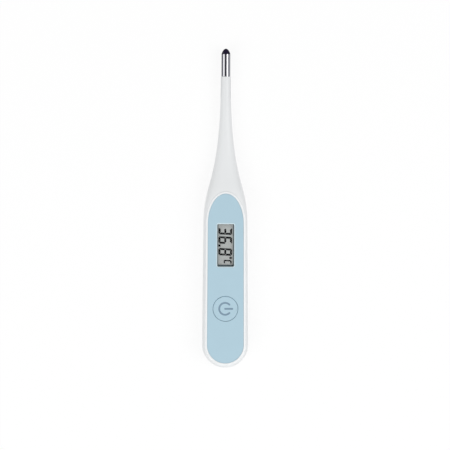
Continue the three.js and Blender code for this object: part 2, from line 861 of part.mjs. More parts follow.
function addSwitch() {
  const half = switchSide / 2;
  const tail = buttonY - half;
  const head = buttonY + half;
  const wellZ = switchTopZ - switchWellDepth;
  let housing = block(half, tail, head, boardTopZ, switchTopZ);
  housing = housing.subtract(post(switchWellRadius, 0, buttonY, wellZ, switchTopZ + overrun));
  for (const side of [-1, 1]) {
    housing = housing.add(switchLeg(side, -1)).add(switchLeg(side, 1));
  }
  add("switch_housing", housing, "black");
  const coverTop = switchTopZ + switchCoverThickness;
  const hole = post(switchCoverHole, 0, buttonY, switchTopZ - overrun, coverTop + overrun);
  add("switch_cover", block(half, tail, head, switchTopZ, coverTop).subtract(hole), "nickel");
  add("switch_plunger", post(plungerRadius, 0, buttonY, wellZ + plungerSeat, plungerTopZ), "ceramic");
}

// Circuit board with its screws and the parts on its underside
function circuitBoard() {
  const outline = new THREE.Shape();
  outline.moveTo(boardHalf - boardCorner, tailY + boardTailSetback);
  outline.lineTo(boardHalf, tailY + boardTailSetback + boardCorner);
  outline.lineTo(boardHalf, tailY + boardShoulderSetback);
  outline.lineTo(boardNoseHalf, tailY + boardNoseSetback);
  outline.lineTo(-boardNoseHalf, tailY + boardNoseSetback);
  outline.lineTo(-boardHalf, tailY + boardShoulderSetback);
  outline.lineTo(-boardHalf, tailY + boardTailSetback + boardCorner);
  outline.lineTo(boardCorner - boardHalf, tailY + boardTailSetback);
  let board = prism(outline, boardBottomZ, boardTopZ);
  for (const setback of screwSetbacks) {
    const y = tailY + setback;
    board = board.subtract(
      post(screwShank + boardHoleGap, 0, y, boardBottomZ - overrun, boardTopZ + overrun),
    );
  }
  return board;
}

function boardScrew(setback) {
  const y = tailY + setback;
  const headZ = boardBottomZ - screwHeadHeight;
  const screw = post(screwHeadRadius, 0, y, headZ, boardBottomZ).add(
    post(screwShank, 0, y, boardBottomZ - screwHeadHeight / 2, boardTopZ + screwReach),
  );
  const long = screwHeadRadius / 2;
  const short = screwSlotWidth / 2;
  const slotTop = headZ + screwSlotDepth;
  const across = block(long, y - short, y + short, headZ - overrun, slotTop);
  const along = block(short, y - long, y + long, headZ - overrun, slotTop);
  return screw.subtract(across).subtract(along);
}

function chipGlob() {
  const profile = [[0, boardBottomZ - globHeight]];
  for (let step = 1; step <= globSteps; step++) {
    const angle = (step / globSteps) * (Math.PI / 2);
    profile.push([globRadius * Math.sin(angle), boardBottomZ - globHeight * Math.cos(angle)]);
  }
  profile.push([0, boardBottomZ]);
  return turned(profile, 0, windowY, smallRoundSteps);
}

// A small part with a metal cap on each end, hung under the board
function chip(height, x, y) {
  const half = chipWidth / 2;
  const endHalf = half + chipEndStep;
  const top = boardBottomZ;
  const bottom = top - height - chipEndStep;
  const tail = y - chipLength / 2;
  const head = y + chipLength / 2;
  return box(x - half, x + half, tail, head, top - height, top - chipEndStep)
    .add(box(x - endHalf, x + endHalf, tail, tail + chipEndCap, bottom, top))
    .add(box(x - endHalf, x + endHalf, head - chipEndCap, head, bottom, top));
}

function addBoard() {
  add("circuit_board", circuitBoard(), "board");
  add("board_screw_front", boardScrew(frontScrewSetback), "nickel");
  add("board_screw_rear", boardScrew(rearScrewSetback), "nickel");
  add("chip_glob", chipGlob(), "resin");
  const ribSide = tailY + ribSetbacks[1] - ribThickness / 2;
  for (let number = 1; number <= chipRows; number++) {
    const y = ribSide - chipRibGap - chipLength / 2 - (number - 1) * chipSpacing;
    add("resistor_" + number, chip(resistorHeight, chipColumnHalf, y), "black");
    add("capacitor_" + number, chip(capacitorHeight, -chipColumnHalf, y), "ceramic");
  }
}

// A wire from the buzzer up to the board
function buzzerWire(x, y, solderZ, boardX) {
  const low = solderZ + wireGap;
  const high = boardBottomZ - wireGap;
  const middle = (low + high) / 2;
  const route = [
    new THREE.Vector3(x, y, low),
    new THREE.Vector3(x, y + buzzerWireRadius, middle),
    new THREE.Vector3(boardX, y + buzzerWireRun - buzzerWireRadius, middle),
    new THREE.Vector3(boardX, y + buzzerWireRun, high),
  ];
  return wire(route, buzzerWireRadius, wireSteps);
}

// Buzzer: a ceramic disc on a brass plate, stuck inside the back wall
function addBuzzer() {
  const y = tailY + buzzerSetback;
  const plateTop = shellWall + buzzerPlateThickness;
  const discTop = plateTop + buzzerDiscThickness;
  add("buzzer_plate", post(buzzerPlateRadius, 0, y, shellWall, plateTop, roundSteps), "brass");
  add("buzzer_disc", post(buzzerDiscRadius, 0, y, plateTop, discTop, roundSteps), "ceramic");
  const plateEdge = (buzzerPlateRadius + buzzerDiscRadius) / 2;
  add("buzzer_wire_plate", buzzerWire(-plateEdge, y, plateTop, -buzzerWireHalf), "wire");
  add("buzzer_wire_disc", buzzerWire(buzzerDiscRadius / 2, y, discTop, buzzerWireHalf), "wire");
}

// Button cell: can, seal and cap
function addCell() {
  const canTop = cellTopZ - cellCapStep;
  const canInner = cellRadius - cellCanWall;
  const floor = cellBottomZ + cellCanWall;
  const can = turned(
    [
      [0, cellBottomZ],
      [cellRadius - cellEdge, cellBottomZ],
      [cellRadius, cellBottomZ + cellEdge],
      [cellRadius, canTop],
      [canInner, canTop],
      [canInner, floor],
      [0, floor],
    ],
    0,
    cellY,
  );
  add("cell_can", can, "steel");
  const sealOuter = canInner - cellSealGap;
  const sealInner = cellCapRadius + cellSealGap;
  const seal = post(sealOuter, 0, cellY, floor + cellSealGap, canTop, roundSteps).subtract(
    post(sealInner, 0, cellY, floor - overrun, canTop + overrun, roundSteps),
  );
  add("cell_seal", seal, "ceramic");
  const cap = turned(
    [
      [0, floor + cellSealGap],
      [cellCapRadius, floor + cellSealGap],
      [cellCapRadius, cellTopZ - cellEdge],
      [cellCapRadius - cellEdge, cellTopZ],
      [0, cellTopZ],
    ],
    0,
    cellY,
  );
  add("cell_cap", cap, "nickel");
}

// Sheet-metal contacts between the board and the cell
function topContact() {
  const boardEndY = tailY + boardTailSetback;
  const tipY = cellY - contactTipLength / 2;
  const tipZ = cellTopZ + contactGap;
  const archZ = boardTopZ + contactArchRise;
  return bentStrip(
    [
      [boardEndY + contactFoot, boardTopZ],
      [boardEndY + contactThickness, boardTopZ],
      [boardEndY - contactThickness, archZ],
      [cellY + cellRadius / 2, archZ],
      [cellY + contactTipLength / 2, tipZ],
      [tipY, tipZ],
      [tipY - contactTipLength, tipZ + contactTipDrop],
    ].reverse(),
    contactThickness,
    contactWidth,
  );
}

function sideContact() {
  const boardEndY = tailY + boardTailSetback;
  const nearY = cellY + cellRadius + contactGap;
  const legY = nearY + sideContactBulge;
  return bentStrip(
    [
      [boardEndY + contactFoot, boardBottomZ],
      [legY, boardBottomZ],
      [nearY, (boardBottomZ + shellWall) / 2],
      [legY, shellWall + sideContactEndGap],
    ],
    contactThickness,
    contactWidth,
  );
}

// A quarter of an ellipse, from the side of the tip to its end
function noseCurve(radius, start, length, steps) {
  const points = [];
  for (let step = 0; step < steps; step++) {
    const angle = (step / steps) * (Math.PI / 2);
    points.push([radius * Math.cos(angle), start + length * Math.sin(angle)]);
  }
  return [...points, [0, start + length]];
}

// Steel tip, its potting, the sensor bead and its two leads
function probeTip() {
  const mouthY = stemEndY + tipSeatGap;
  const noseStart = noseY - tipNoseLength;
  const inner = tipRadius - tipWall;
  return turnedAlongStem([
    [inner, mouthY],
    [tipRadius, mouthY],
    ...noseCurve(tipRadius, noseStart, tipNoseLength, tipNoseSteps),
    ...noseCurve(inner, noseStart, tipNoseLength - tipWall, tipLiningSteps).reverse(),
    [inner, mouthY],
  ]);
}

function tipPotting() {
  const outer = tipRadius - tipWall - pottingGap;
  const noseStart = noseY - tipNoseLength;
  const noseLength = tipNoseLength - tipWall - pottingGap;
  const rearY = pottingPocketY - pottingPocketDepth;
  return turnedAlongStem([
    [0, pottingPocketY],
    [pottingPocket, pottingPocketY],
    [pottingPocket, rearY],
    [outer, rearY],
    ...noseCurve(outer, noseStart, noseLength, tipLiningSteps),
  ]);
}

function sensorBead() {
  const bead = new THREE.SphereGeometry(beadRadius, beadSteps, beadSteps / 2);
  bead.scale(1, beadLength / (2 * beadRadius), 1);
  return solid(bead.translate(0, beadRearY + beadLength / 2, seamZ));
}

function addLeads() {
  const solderY = tailY + leadSolderSetback;
  const solderZ = boardTopZ + leadRadius + wireGap;
  for (const [name, side] of [["sensor_lead_left", -1], ["sensor_lead_right", 1]]) {
    const route = [
      new THREE.Vector3(side * leadBoardHalf, solderY, solderZ),
      new THREE.Vector3(side * leadBoardHalf, splitY, solderZ),
      new THREE.Vector3(side * leadHalf, (splitY + stemEndY) / 2, seamZ),
      new THREE.Vector3(side * leadHalf, stemEndY, seamZ),
      new THREE.Vector3(side * leadHalf, beadRearY, seamZ),
    ];
    add(name, wire(route, leadRadius, leadSteps), "wire");
  }
}

add("front_shell", frontShell(), "white");
add("rear_shell", rearShell(), "white");
add("battery_door", batteryDoor(), "white");
add("front_panel", frontPanel(), "blue");
add("panel_adhesive", panelAdhesive(), "tape");
add("display_window", displayWindow(), "clear");
add("display_gasket", displayGasket(), "black");
addDisplay();
add("power_button", powerButton(), "blue");
addSwitch();
addBoard();
addBuzzer();
addCell();
add("cell_contact_top", topContact(), "nickel");
add("cell_contact_side", sideContact(), "nickel");
add("probe_tip", probeTip(), "steel");
add("tip_potting", tipPotting(), "resin");
add("sensor_bead", sensorBead(), "black");
addLeads();

export default thermometer;
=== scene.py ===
# Digital thermometer on its back: white case, blue panel, display, round button and steel tip
from math import cos, hypot, pi, radians, sin, sqrt, tan
import bpy
import bmesh
from mathutils import Matrix, Quaternion, Vector


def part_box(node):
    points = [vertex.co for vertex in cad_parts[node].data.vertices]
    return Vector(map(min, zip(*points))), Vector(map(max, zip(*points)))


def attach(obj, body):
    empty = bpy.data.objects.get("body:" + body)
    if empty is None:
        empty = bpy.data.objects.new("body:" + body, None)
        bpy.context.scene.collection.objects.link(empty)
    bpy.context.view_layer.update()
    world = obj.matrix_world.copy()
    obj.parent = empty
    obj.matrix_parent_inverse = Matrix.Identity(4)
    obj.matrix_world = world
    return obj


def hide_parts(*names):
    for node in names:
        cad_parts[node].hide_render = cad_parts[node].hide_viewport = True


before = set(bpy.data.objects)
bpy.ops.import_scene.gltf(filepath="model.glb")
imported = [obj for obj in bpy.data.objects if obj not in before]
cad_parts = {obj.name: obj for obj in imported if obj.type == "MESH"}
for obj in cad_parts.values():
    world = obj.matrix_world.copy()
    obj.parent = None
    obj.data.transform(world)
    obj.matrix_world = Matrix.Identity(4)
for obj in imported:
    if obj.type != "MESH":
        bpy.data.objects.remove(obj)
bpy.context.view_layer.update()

mm = 0.001
quarterTurn = pi / 2
plus, minus, common = "UNION", "DIFFERENCE", "INTERSECT"     # what one shape does to another
mergeDistance = 0.0001 * mm
levelDistance = 0.001 * mm       # points this near a level plane lie in it
reach = 200 * mm                 # past the whole object
overrun = 1 * mm                 # every cut passes its surface by this much
smoothBelow = radians(32)        # softer folds than this are shaded smooth
edgeSteps = 3                    # of a rounded edge

scene = bpy.context.scene
print("frame loaded:", len(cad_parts), "nodes")


def linked(name, data):
    # a new object in the scene
    made = bpy.data.objects.new(name, data)
    scene.collection.objects.link(made)
    return made


# Camera, above the panel and a little towards its left and its tip
photo = {
    "distance": 1.2,
    "width": 180.3 * mm,      # what the picture spans at the seam
    "centre": (-0.14 * mm, -6.94 * mm),
    "sensor": 36,
    "leanLeft": radians(1.9),
    "leanForward": radians(1.5),
    "roll": radians(0.2),
    "clip": (0.01, 20),
}
tipLow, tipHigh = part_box("probe_tip")
seamZ = (tipLow.z + tipHigh.z) / 2   # the case parts where the stem's axis runs


def placeCamera():
    data = bpy.data.cameras.new("photoCamera")
    data.sensor_width = photo["sensor"]
    data.lens = photo["sensor"] * photo["distance"] / photo["width"]
    data.clip_start, data.clip_end = photo["clip"]
    camera = linked("photoCamera", data)
    sight = Vector((-tan(photo["leanLeft"]), tan(photo["leanForward"]), 1)).normalized()
    across = Vector((0, 1, 0)).cross(sight).normalized()
    facing = Matrix((across, sight.cross(across), sight)).transposed().to_quaternion()
    camera.location = Vector((*photo["centre"], seamZ)) + sight * photo["distance"]
    camera.rotation_euler = (facing @ Quaternion((0, 0, 1), photo["roll"])).to_euler()
    scene.camera = camera


placeCamera()
print("camera placed")


# Mesh helpers
def welded(bm):
    bmesh.ops.remove_doubles(bm, verts=bm.verts, dist=mergeDistance)
    bmesh.ops.dissolve_degenerate(bm, edges=bm.edges, dist=mergeDistance)
    return bm


def loft(rows):
    # a grid wrapped round rows of points, with its open ends filled
    count, last = len(rows[0]), len(rows) - 1
    bm = bmesh.new()
    bmesh.ops.create_grid(bm, x_segments=count, y_segments=last, size=0.5)
    for v in bm.verts:
        column = round((v.co.x + 0.5) * count) % count
        v.co = rows[round((v.co.y + 0.5) * last)][column]
    welded(bm)
    bmesh.ops.holes_fill(bm, edges=[e for e in bm.edges if e.is_boundary], sides=0)
    bmesh.ops.recalc_face_normals(bm, faces=bm.faces)
    return bm


def block(x0, x1, y0, y1, z0, z1):
    bm = bmesh.new()
    bmesh.ops.create_cube(bm, size=1)
    bmesh.ops.scale(bm, vec=(x1 - x0, y1 - y0, z1 - z0), verts=bm.verts)
    bmesh.ops.translate(bm, vec=((x0 + x1) / 2, (y0 + y1) / 2, (z0 + z1) / 2), verts=bm.verts)
    return bm


def turned(profile, steps, x=0, y=0):
    # (radius, height) points spun about a standing axis, open or closed on the axis
    bm = bmesh.new()
    line = [bm.verts.new((radius, 0, height)) for radius, height in profile]
    edges = [bm.edges.new(pair) for pair in zip(line, line[1:]) if pair[0].co.x or pair[1].co.x]
    bmesh.ops.spin(
        bm, geom=line + edges, cent=(0, 0, 0), axis=(0, 0, 1), dvec=(0, 0, 0),
        angle=2 * pi, steps=steps, use_merge=True,
    )
    welded(bm)
    bmesh.ops.recalc_face_normals(bm, faces=bm.faces)
    bmesh.ops.translate(bm, vec=(x, y, 0), verts=bm.verts)
    return bm


def steppedBar(inner, outer, lip, foot, shelf, top, y0, y1):
    # a bar along Y that reaches out to the lip below the shelf and to outer above it
    corners = [(inner, foot), (lip, foot), (lip, shelf), (outer, shelf), (outer, top), (inner, top)]
    return loft([[(x, y, z) for x, z in corners] for y in (y0, y1)])


def post(radius, y, z0, z1, steps):
    return turned([(0, z0), (radius, z0), (radius, z1), (0, z1)], steps, 0, y)


def bothSides(bm):
    # the shape and its mirror image across the middle
    bmesh.ops.mirror(bm, geom=bm.verts[:] + bm.edges[:] + bm.faces[:], axis="X", merge_dist=-1)
    bmesh.ops.recalc_face_normals(bm, faces=bm.faces)
    return bm


def quarterArc(steps):
    # the turns from 0 to a quarter
    return [quarterTurn * step / steps for step in range(steps + 1)]


def fillet(inset, top, radius, steps=edgeSteps):
    # (inset, height) points that round an edge over, up to its top; a radius below 0 flares a cut
    turns = quarterArc(steps)
    return [(inset + radius * (1 - cos(t)), top - abs(radius) * (1 - sin(t))) for t in turns]


def meshObject(name, bm, *materials):
    mesh = bpy.data.meshes.new(name)
    bm.to_mesh(mesh)
    bm.free()
    for material in materials:
        mesh.materials.append(material)
    return linked(name, mesh)


def joined(bm, other):
    # bm with the faces of other added as they are
    mesh = bpy.data.meshes.new("joined")
    other.to_mesh(mesh)
    other.free()
    bm.from_mesh(mesh)
    bpy.data.meshes.remove(mesh)
    return bm


def combined(base, steps):
    # base with each (operation, shape) of the steps joined or cut in turn
    slots = (whitePlastic, bluePanel)      # any two, to keep the faces' indices apart
    work = meshObject("work", base, *slots)
    tools = []
    for operation, shape in steps:
        tool = meshObject("tool", shape, *slots)
        modifier = work.modifiers.new(operation, "BOOLEAN")
        modifier.operation = operation
        modifier.solver = "EXACT"
        modifier.object = tool
        tools.append(tool)
    evaluated = work.evaluated_get(bpy.context.evaluated_depsgraph_get())
    bm = bmesh.new()
    bm.from_mesh(evaluated.to_mesh())
    for old in [work, *tools]:
        bpy.data.meshes.remove(old.data)     # takes the object with it
    return welded(bm)


def piece(name, bm, materials, body, slotName, *stoodFor):
    # a finished object: smooth faces, sharp folds, its body and the nodes it stands for; slotName is not
    # used
    for face in bm.faces:
        face.smooth = True
    for edge in bm.edges:
        edge.smooth = len(edge.link_faces) == 2 and edge.calc_face_angle(0) < smoothBelow
    openEdges = sum(1 for edge in bm.edges if len(edge.link_faces) != 2)
    made = meshObject(name, bm, *materials)
    weighted = made.modifiers.new("faceNormals", "WEIGHTED_NORMAL")
    weighted.keep_sharp = True
    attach(made, body)
    if stoodFor:
        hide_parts(*stoodFor)
    print("piece", name, len(made.data.polygons), "faces, open edges", openEdges)


# Shared surface effects
effects = {
    "toneDetail": 3,
    "grainDetail": 2,
    "smearDetail": 4,
    "smearScale": 2.7,      # for each unit of the tone's scale
    "lineDetail": 3,
}
socketKinds = {"vector": "Vector", "stretch": "Vector", "color": "Color"}     # the rest are numbers


def effectGroup(name, inputs, outputs):
    # a new group, the sockets that it starts from and its output node
    group = bpy.data.node_groups.new(name, "ShaderNodeTree")
    for direction, keys in (("INPUT", inputs), ("OUTPUT", outputs)):
        for key in keys:
            kind = "NodeSocket" + socketKinds.get(key, "Float")
            group.interface.new_socket(key, in_out=direction, socket_type=kind)
    return group, group.nodes.new("NodeGroupInput").outputs, group.nodes.new("NodeGroupOutput")


def feed(tree, node, inputs):
    # sets each input of a node to a value, or links it to another node's output; returns its outputs
    for key, value in inputs.items():
        if isinstance(value, bpy.types.NodeSocket):
            tree.links.new(value, node.inputs[key])
        else:
            node.inputs[key].default_value = value
    return node.outputs


def addNode(tree, kind, inputs):
    return feed(tree, tree.nodes.new("ShaderNode" + kind), inputs)


def noise(tree, vector, scale, detail):
    return addNode(tree, "TexNoise", {"Vector": vector, "Scale": scale, "Detail": detail})["Fac"]


def operated(tree, kind, operation, inputs):
    node = tree.nodes.new("ShaderNode" + kind)
    node.operation = operation
    return feed(tree, node, inputs)[0]


def maths(tree, operation, *values):
    return operated(tree, "Math", operation, dict(enumerate(values)))


def spread(tree, source, centre, amount):
    # a 0 to 1 value turned into centre plus or minus about amount
    return maths(tree, "MULTIPLY_ADD", maths(tree, "SUBTRACT", source, 0.5), amount, centre)


def makeFinishGroup():
    # colour that drifts a little, roughness that varies, and a fine grain to bump
    group, source, target = effectGroup(
        "mouldedFinish",
        ("vector", "color", "tone", "toneScale", "roughness", "roughSpread", "grainScale"),
        ("color", "roughness", "height"),
    )
    vector, toneScale = source["vector"], source["toneScale"]
    tone = noise(group, vector, toneScale, effects["toneDetail"])
    brightness = spread(group, tone, 1.0, source["tone"])
    smearScale = maths(group, "MULTIPLY", toneScale, effects["smearScale"])
    smears = noise(group, vector, smearScale, effects["smearDetail"])
    feed(group, target, {
        "color": operated(group, "VectorMath", "SCALE", {0: source["color"], "Scale": brightness}),
        "roughness": spread(group, smears, source["roughness"], source["roughSpread"]),
        "height": noise(group, vector, source["grainScale"], effects["grainDetail"]),
    })
    return group


def makeLineGroup():
    # fine lines round or along a turned or rolled metal piece, with a matching roughness
    inputs = ("vector", "stretch", "lineScale", "roughness", "roughSpread")
    group, source, target = effectGroup("toolLines", inputs, ("height", "roughness"))
    factors = {0: source["vector"], 1: source["stretch"]}
    stretched = operated(group, "VectorMath", "MULTIPLY", factors)
    lines = noise(group, stretched, source["lineScale"], effects["lineDetail"])
    rough = spread(group, lines, source["roughness"], source["roughSpread"])
    feed(group, target, {"height": lines, "roughness": rough})
    return group


mouldedFinish = makeFinishGroup()
toolLines = makeLineGroup()


def paint(screen):
    # an 8-bit screen colour as the linear values that a shader takes
    shares = [c / 255 for c in screen]
    return (*[c / 12.92 if c <= 0.04045 else ((c + 0.055) / 1.055) ** 2.4 for c in shares], 1.0)


def newMaterial(name):
    material = bpy.data.materials.new(name)
    material.use_nodes = True
    return material, material.node_tree


def effectMaterial(name, group, look):
    # look: the effect's inputs, the depth of its bump and any plain shader values
    material, tree = newMaterial(name)
    shader, effect = tree.nodes["Principled BSDF"], tree.nodes.new("ShaderNodeGroup")
    effect.node_tree = group
    inputs = {key: value for key, value in look.items() if key in effect.inputs}
    inputs["vector"] = addNode(tree, "TexCoord", {})["Object"]
    made = feed(tree, effect, inputs)
    bump = addNode(tree, "Bump", {"Distance": look["depth"], "Height": made["height"]})
    finish = {"Roughness": made["roughness"], "Normal": bump["Normal"], **look.get("plain", {})}
    feed(tree, shader, finish)
    return material, tree, shader, made


def mouldedMaterial(name, color, look):
    painted = {**look, "color": paint(color)}
    material, tree, shader, made = effectMaterial(name, mouldedFinish, painted)
    feed(tree, shader, {"Base Color": made["color"]})
    return material


def metalMaterial(name, color, look):
    material, tree, shader, made = effectMaterial(name, toolLines, look)
    feed(tree, shader, {"Base Color": paint(color), "Metallic": 1.0})
    return material


def mixShaders(tree, share, first, second, surface):
    tree.links.new(addNode(tree, "MixShader", {0: share, 1: first, 2: second})[0], surface)


def glassMaterial(name, color, look):
    # clear plastic that lets light through to what lies under it
    material = mouldedMaterial(name, color, look)
    tree = material.node_tree
    light, clear = addNode(tree, "LightPath", {}), addNode(tree, "BsdfTransparent", {})[0]
    passing = maths(tree, "MAXIMUM", light["Is Shadow Ray"], light["Is Diffuse Ray"])
    shader = tree.nodes["Principled BSDF"].outputs[0]
    mixShaders(tree, passing, shader, clear, tree.nodes["Material Output"].inputs["Surface"])
    return material


smoothPlastic = {
    "tone": 0.02, "toneScale": 90.0, "roughness": 0.34, "roughSpread": 0.12,
    "grainScale": 9000.0, "depth": 0.0015 * mm,
}
whitePlastic = mouldedMaterial("whitePlastic", (238, 240, 241), smoothPlastic)
# the rim's lighter colour is painted light, standing in for the light its upward flat catches; its lower
# roughness is real
rimPaintedLight = mouldedMaterial("rimPaintedLight", (248, 250, 251), {**smoothPlastic, "roughness": 0.24})

panelLook = {
    "tone": 0.035, "toneScale": 160.0, "roughness": 0.5, "roughSpread": 0.12,
    "grainScale": 14000.0, "depth": 0.003 * mm,
}
bluePanel = mouldedMaterial("bluePanel", (178, 207, 221), panelLook)
# a paler blue that paints a highlight on the window's chamfer
chamferPaintedHighlight = mouldedMaterial("chamferPaintedHighlight", (222, 241, 248), panelLook)

softLook = {
    "tone": 0.2, "toneScale": 900.0, "roughness": 0.85, "roughSpread": 0.1,
    "grainScale": 5000.0, "depth": 0.02 * mm,
}
# the display frame's foam, its grey-green matched to the shaded border: partly the foam's own dark colour,
# partly painted shade
foamWithPaintedShade = mouldedMaterial("foamWithPaintedShade", (84, 98, 103), softLook)

blackLook = {
    "tone": 0.15, "toneScale": 500.0, "roughness": 0.55, "roughSpread": 0.15,
    "grainScale": 7000.0, "depth": 0.004 * mm,
}
blackPlastic = mouldedMaterial("blackPlastic", (38, 40, 42), blackLook)
print("materials made")


# The whole body's form: a squared ellipse lofted from the stem to the tail and swept round it
form = {
    "handleLength": 48.4 * mm,
    "shoulderHalf": 8.77 * mm,
    "pullAtShoulder": 17.8 * mm,
    "pullAtStem": 42.9 * mm,
    "stemRadius": 1.97 * mm,
    "crownDepth": 6.1 * mm,
    "bellyDepth": 5.6 * mm,
    "frontPower": 5,
    "backPower": 3.2,
    "stemPower": 2,
    "crownFallPower": 1.3,
    "rimStep": 0.15 * mm,
    "frontBlend": 0.5 * mm,      # how softly the front's flat meets its sides
    "backBlend": 0.1 * mm,
    "ringSteps": 72,
    "neckSteps": 56,
    "handleSteps": 12,
    "tailSteps": 28,
    "spigotLength": 5.2 * mm,
    "spigotRadius": 1.49 * mm,
    "wall": 1.3 * mm,
    "stemBore": 1 * mm,
    "frontWall": 1.1 * mm,
    "seamGap": 0.12 * mm,
    "seamEdge": 0.1 * mm,
    "seamEdgeSteps": 2,
    "backSplit": 66.8 * mm,
    "doorLength": 10.8 * mm,
}
shellLow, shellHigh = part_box("front_shell")
panelLow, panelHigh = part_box("front_panel")
adhesiveLow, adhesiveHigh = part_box("panel_adhesive")
lensLow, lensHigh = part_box("display_window")
tailRadius = shellHigh.x
tailY = shellLow.y + tailRadius
shoulderY = tailY + form["handleLength"]
stemEndY = shellHigh.y - form["spigotLength"]
splitY = tailY + form["backSplit"]
doorY = tailY + form["doorLength"]
rimZ = shellHigh.z
recessZ = adhesiveLow.z
ceilingZ = recessZ - form["frontWall"]
midWallZ = (recessZ + ceilingZ) / 2


def bodyStations():
    # (along, half width) from the stem to the tail: the neck on a cubic curve, then the straight handle
    stem, shoulder = form["stemRadius"], form["shoulderHalf"]
    halves = (stem, stem, shoulder, shoulder)
    places = (stemEndY, stemEndY - form["pullAtStem"], shoulderY + form["pullAtShoulder"], shoulderY)
    stations = []
    for step in range(form["neckSteps"] + 1):
        t = step / form["neckSteps"]
        weights = ((1 - t) ** 3, 3 * t * (1 - t) ** 2, 3 * t * t * (1 - t), t ** 3)
        y, half = (sum(w * value for w, value in zip(weights, values)) for values in (places, halves))
        stations.append((y, half))
    for step in range(1, form["handleSteps"] + 1):
        t = step / form["handleSteps"]
        stations.append((shoulderY + (tailY - shoulderY) * t, shoulder + (tailRadius - shoulder) * t))
    return stations


def softLimit(value, limit, blend, side):
    # value, held under the limit if side is 1 or over it if -1, with a soft turn
    gap = side * (value - limit)
    return limit + side * (gap - sqrt(gap * gap + blend * blend)) / 2


def ringTurns():
    # once round a section, the same on both sides of the middle
    return [2 * pi * (step + 0.5) / form["ringSteps"] for step in range(form["ringSteps"])]


def bodySection(y, half, wallAtHandle, wallAtStem, low, high):
    # a squared ellipse, inset by a wall and held between two heights
    stem, shoulder = form["stemRadius"], form["shoulderHalf"]
    fullness = min(1, (half - stem) / (shoulder - stem))
    wall = wallAtStem + (wallAtHandle - wallAtStem) * fullness
    up = stem + (form["crownDepth"] - stem) * fullness ** form["crownFallPower"] - wall
    down = stem + (form["bellyDepth"] - stem) * fullness - wall
    least, powers = form["stemPower"], (form["frontPower"], form["backPower"])
    upPower, downPower = (least + (power - least) * fullness ** 2 for power in powers)
    ring = []
    for turn in ringTurns():
        across, rise = cos(turn), sin(turn)
        power = upPower if rise > 0 else downPower
        size = (abs(across) ** power + abs(rise) ** power) ** (-1 / power)
        z = seamZ + (up if rise > 0 else down) * rise * size
        z = softLimit(z, high, form["frontBlend"], 1)
        z = softLimit(z, low, form["backBlend"], -1)
        ring.append(((half - wall) * across * size, y, z))
    return ring


def bodyForm(leading, *shape):
    # the leading rings, then the body's sections of that shape down to the tail and round it
    rings = leading + [bodySection(y, half, *shape) for y, half in bodyStations()]
    last = rings[-1]
    for turn in quarterArc(form["tailSteps"])[1:]:
        rings.append([(x * cos(turn), tailY - abs(x) * sin(turn), z) for x, y, z in last])
    return loft(rings)


def stemRing(y, radius):
    return [(radius * cos(turn), y, seamZ + radius * sin(turn)) for turn in ringTurns()]


def outerForm():
    spigot = [stemRing(y, form["spigotRadius"]) for y in (shellHigh.y, stemEndY)]
    return bodyForm(spigot, 0, 0, 0, rimZ - form["rimStep"])


def innerRoom():
    channel = [stemRing(shellHigh.y + overrun, form["stemBore"])]
    stemWall = form["stemRadius"] - form["stemBore"]
    return bodyForm(channel, form["wall"], stemWall, form["wall"], ceilingZ)


# Panel outline: round tail, straight sides and an elliptical arch
panel = {
    "tailHalf": 7.3 * mm,
    "headHalf": 7.1 * mm,
    "archLength": 11.9 * mm,
    "archSetback": 48.6 * mm,
    "gap": 0.04 * mm,
    "edge": 0.08 * mm,
    "backEdge": 0.1 * mm,
    "rimWidth": 0.8 * mm,
    "rimOuterEdge": 0.22 * mm,
    "rimInnerEdge": 0.06 * mm,
    "arcSteps": 64,
    "sideSteps": 16,
}
archY = tailY + panel["archSetback"]


def panelOutline(inset, z):
    head, tail = panel["headHalf"] - inset, panel["tailHalf"] - inset
    ends = [(head, panel["archLength"] - inset, archY), (tail, tail, tailY)]
    arcSteps, sideSteps = panel["arcSteps"], panel["sideSteps"]
    points = []
    for number, (half, length, y) in enumerate(ends):
        for step in range(arcSteps + 1):
            turn = pi * (number + step / arcSteps)
            points.append((half * cos(turn), y + length * sin(turn), z))
        side, (nextHalf, _, nextY) = (-1, 1)[number], ends[1 - number]
        for step in range(1, sideSteps):
            t = step / sideSteps
            points.append((side * (half + (nextHalf - half) * t), y + (nextY - y) * t, z))
    return points


def outlineStack(levels):
    return loft([panelOutline(inset, z) for inset, z in levels])


def rimPlate():
    # the rim round the panel, less rough than the rest, in a lighter material that paints the light its
    # flat top catches
    side = -panel["rimWidth"]
    bm = outlineStack([(side, seamZ + overrun), *fillet(side, rimZ, panel["rimOuterEdge"])])
    for face in bm.faces:
        face.material_index = 1
    return bm


def panelRecess():
    side = -panel["gap"] / 2
    opening = fillet(side, rimZ, -panel["rimInnerEdge"])
    return outlineStack([(side, recessZ), *opening, (opening[-1][0], rimZ + overrun)])


# Rounded rectangles for the window and what lies under it
window = {
    "width": 6.7 * mm,
    "length": 17 * mm,
    "setback": 39.85 * mm,
    "corner": 0.5 * mm,
    "chamfer": 0.42 * mm,
    "chamferSlopes": (0.5, 0.9),     # faces that are tilted this much are the chamfer
    "gasketPocket": 0.75 * mm,       # past the window's opening
    "pocketGap": 0.1 * mm,
    "cornerSteps": 6,
}
windowY = tailY + window["setback"]


def roundedRectangle(width, length, corner, z, x=0, y=windowY):
    points = []
    halfX, halfY = width / 2 - corner, length / 2 - corner
    for quarter, (across, along) in enumerate(((1, 1), (-1, 1), (-1, -1), (1, -1))):
        for step in range(window["cornerSteps"] + 1):
            turn = (quarter + step / window["cornerSteps"]) * quarterTurn
            spot = (x + across * halfX + corner * cos(turn), y + along * halfY + corner * sin(turn), z)
            points.append(spot)
    return points


def windowStack(levels):
    # (outset from the window's opening, z) levels
    rows = []
    for out, z in levels:
        width, length = window["width"] + 2 * out, window["length"] + 2 * out
        rows.append(roundedRectangle(width, length, window["corner"] + max(out, 0), z))
    return loft(rows)


def slabOver(low, high, out, z0, z1):
    # a slab as wide and long as a node's box, and larger by out all round
    width, length = high.x - low.x + 2 * out, high.y - low.y + 2 * out
    return loft([roundedRectangle(width, length, window["corner"], z) for z in (z0, z1)])


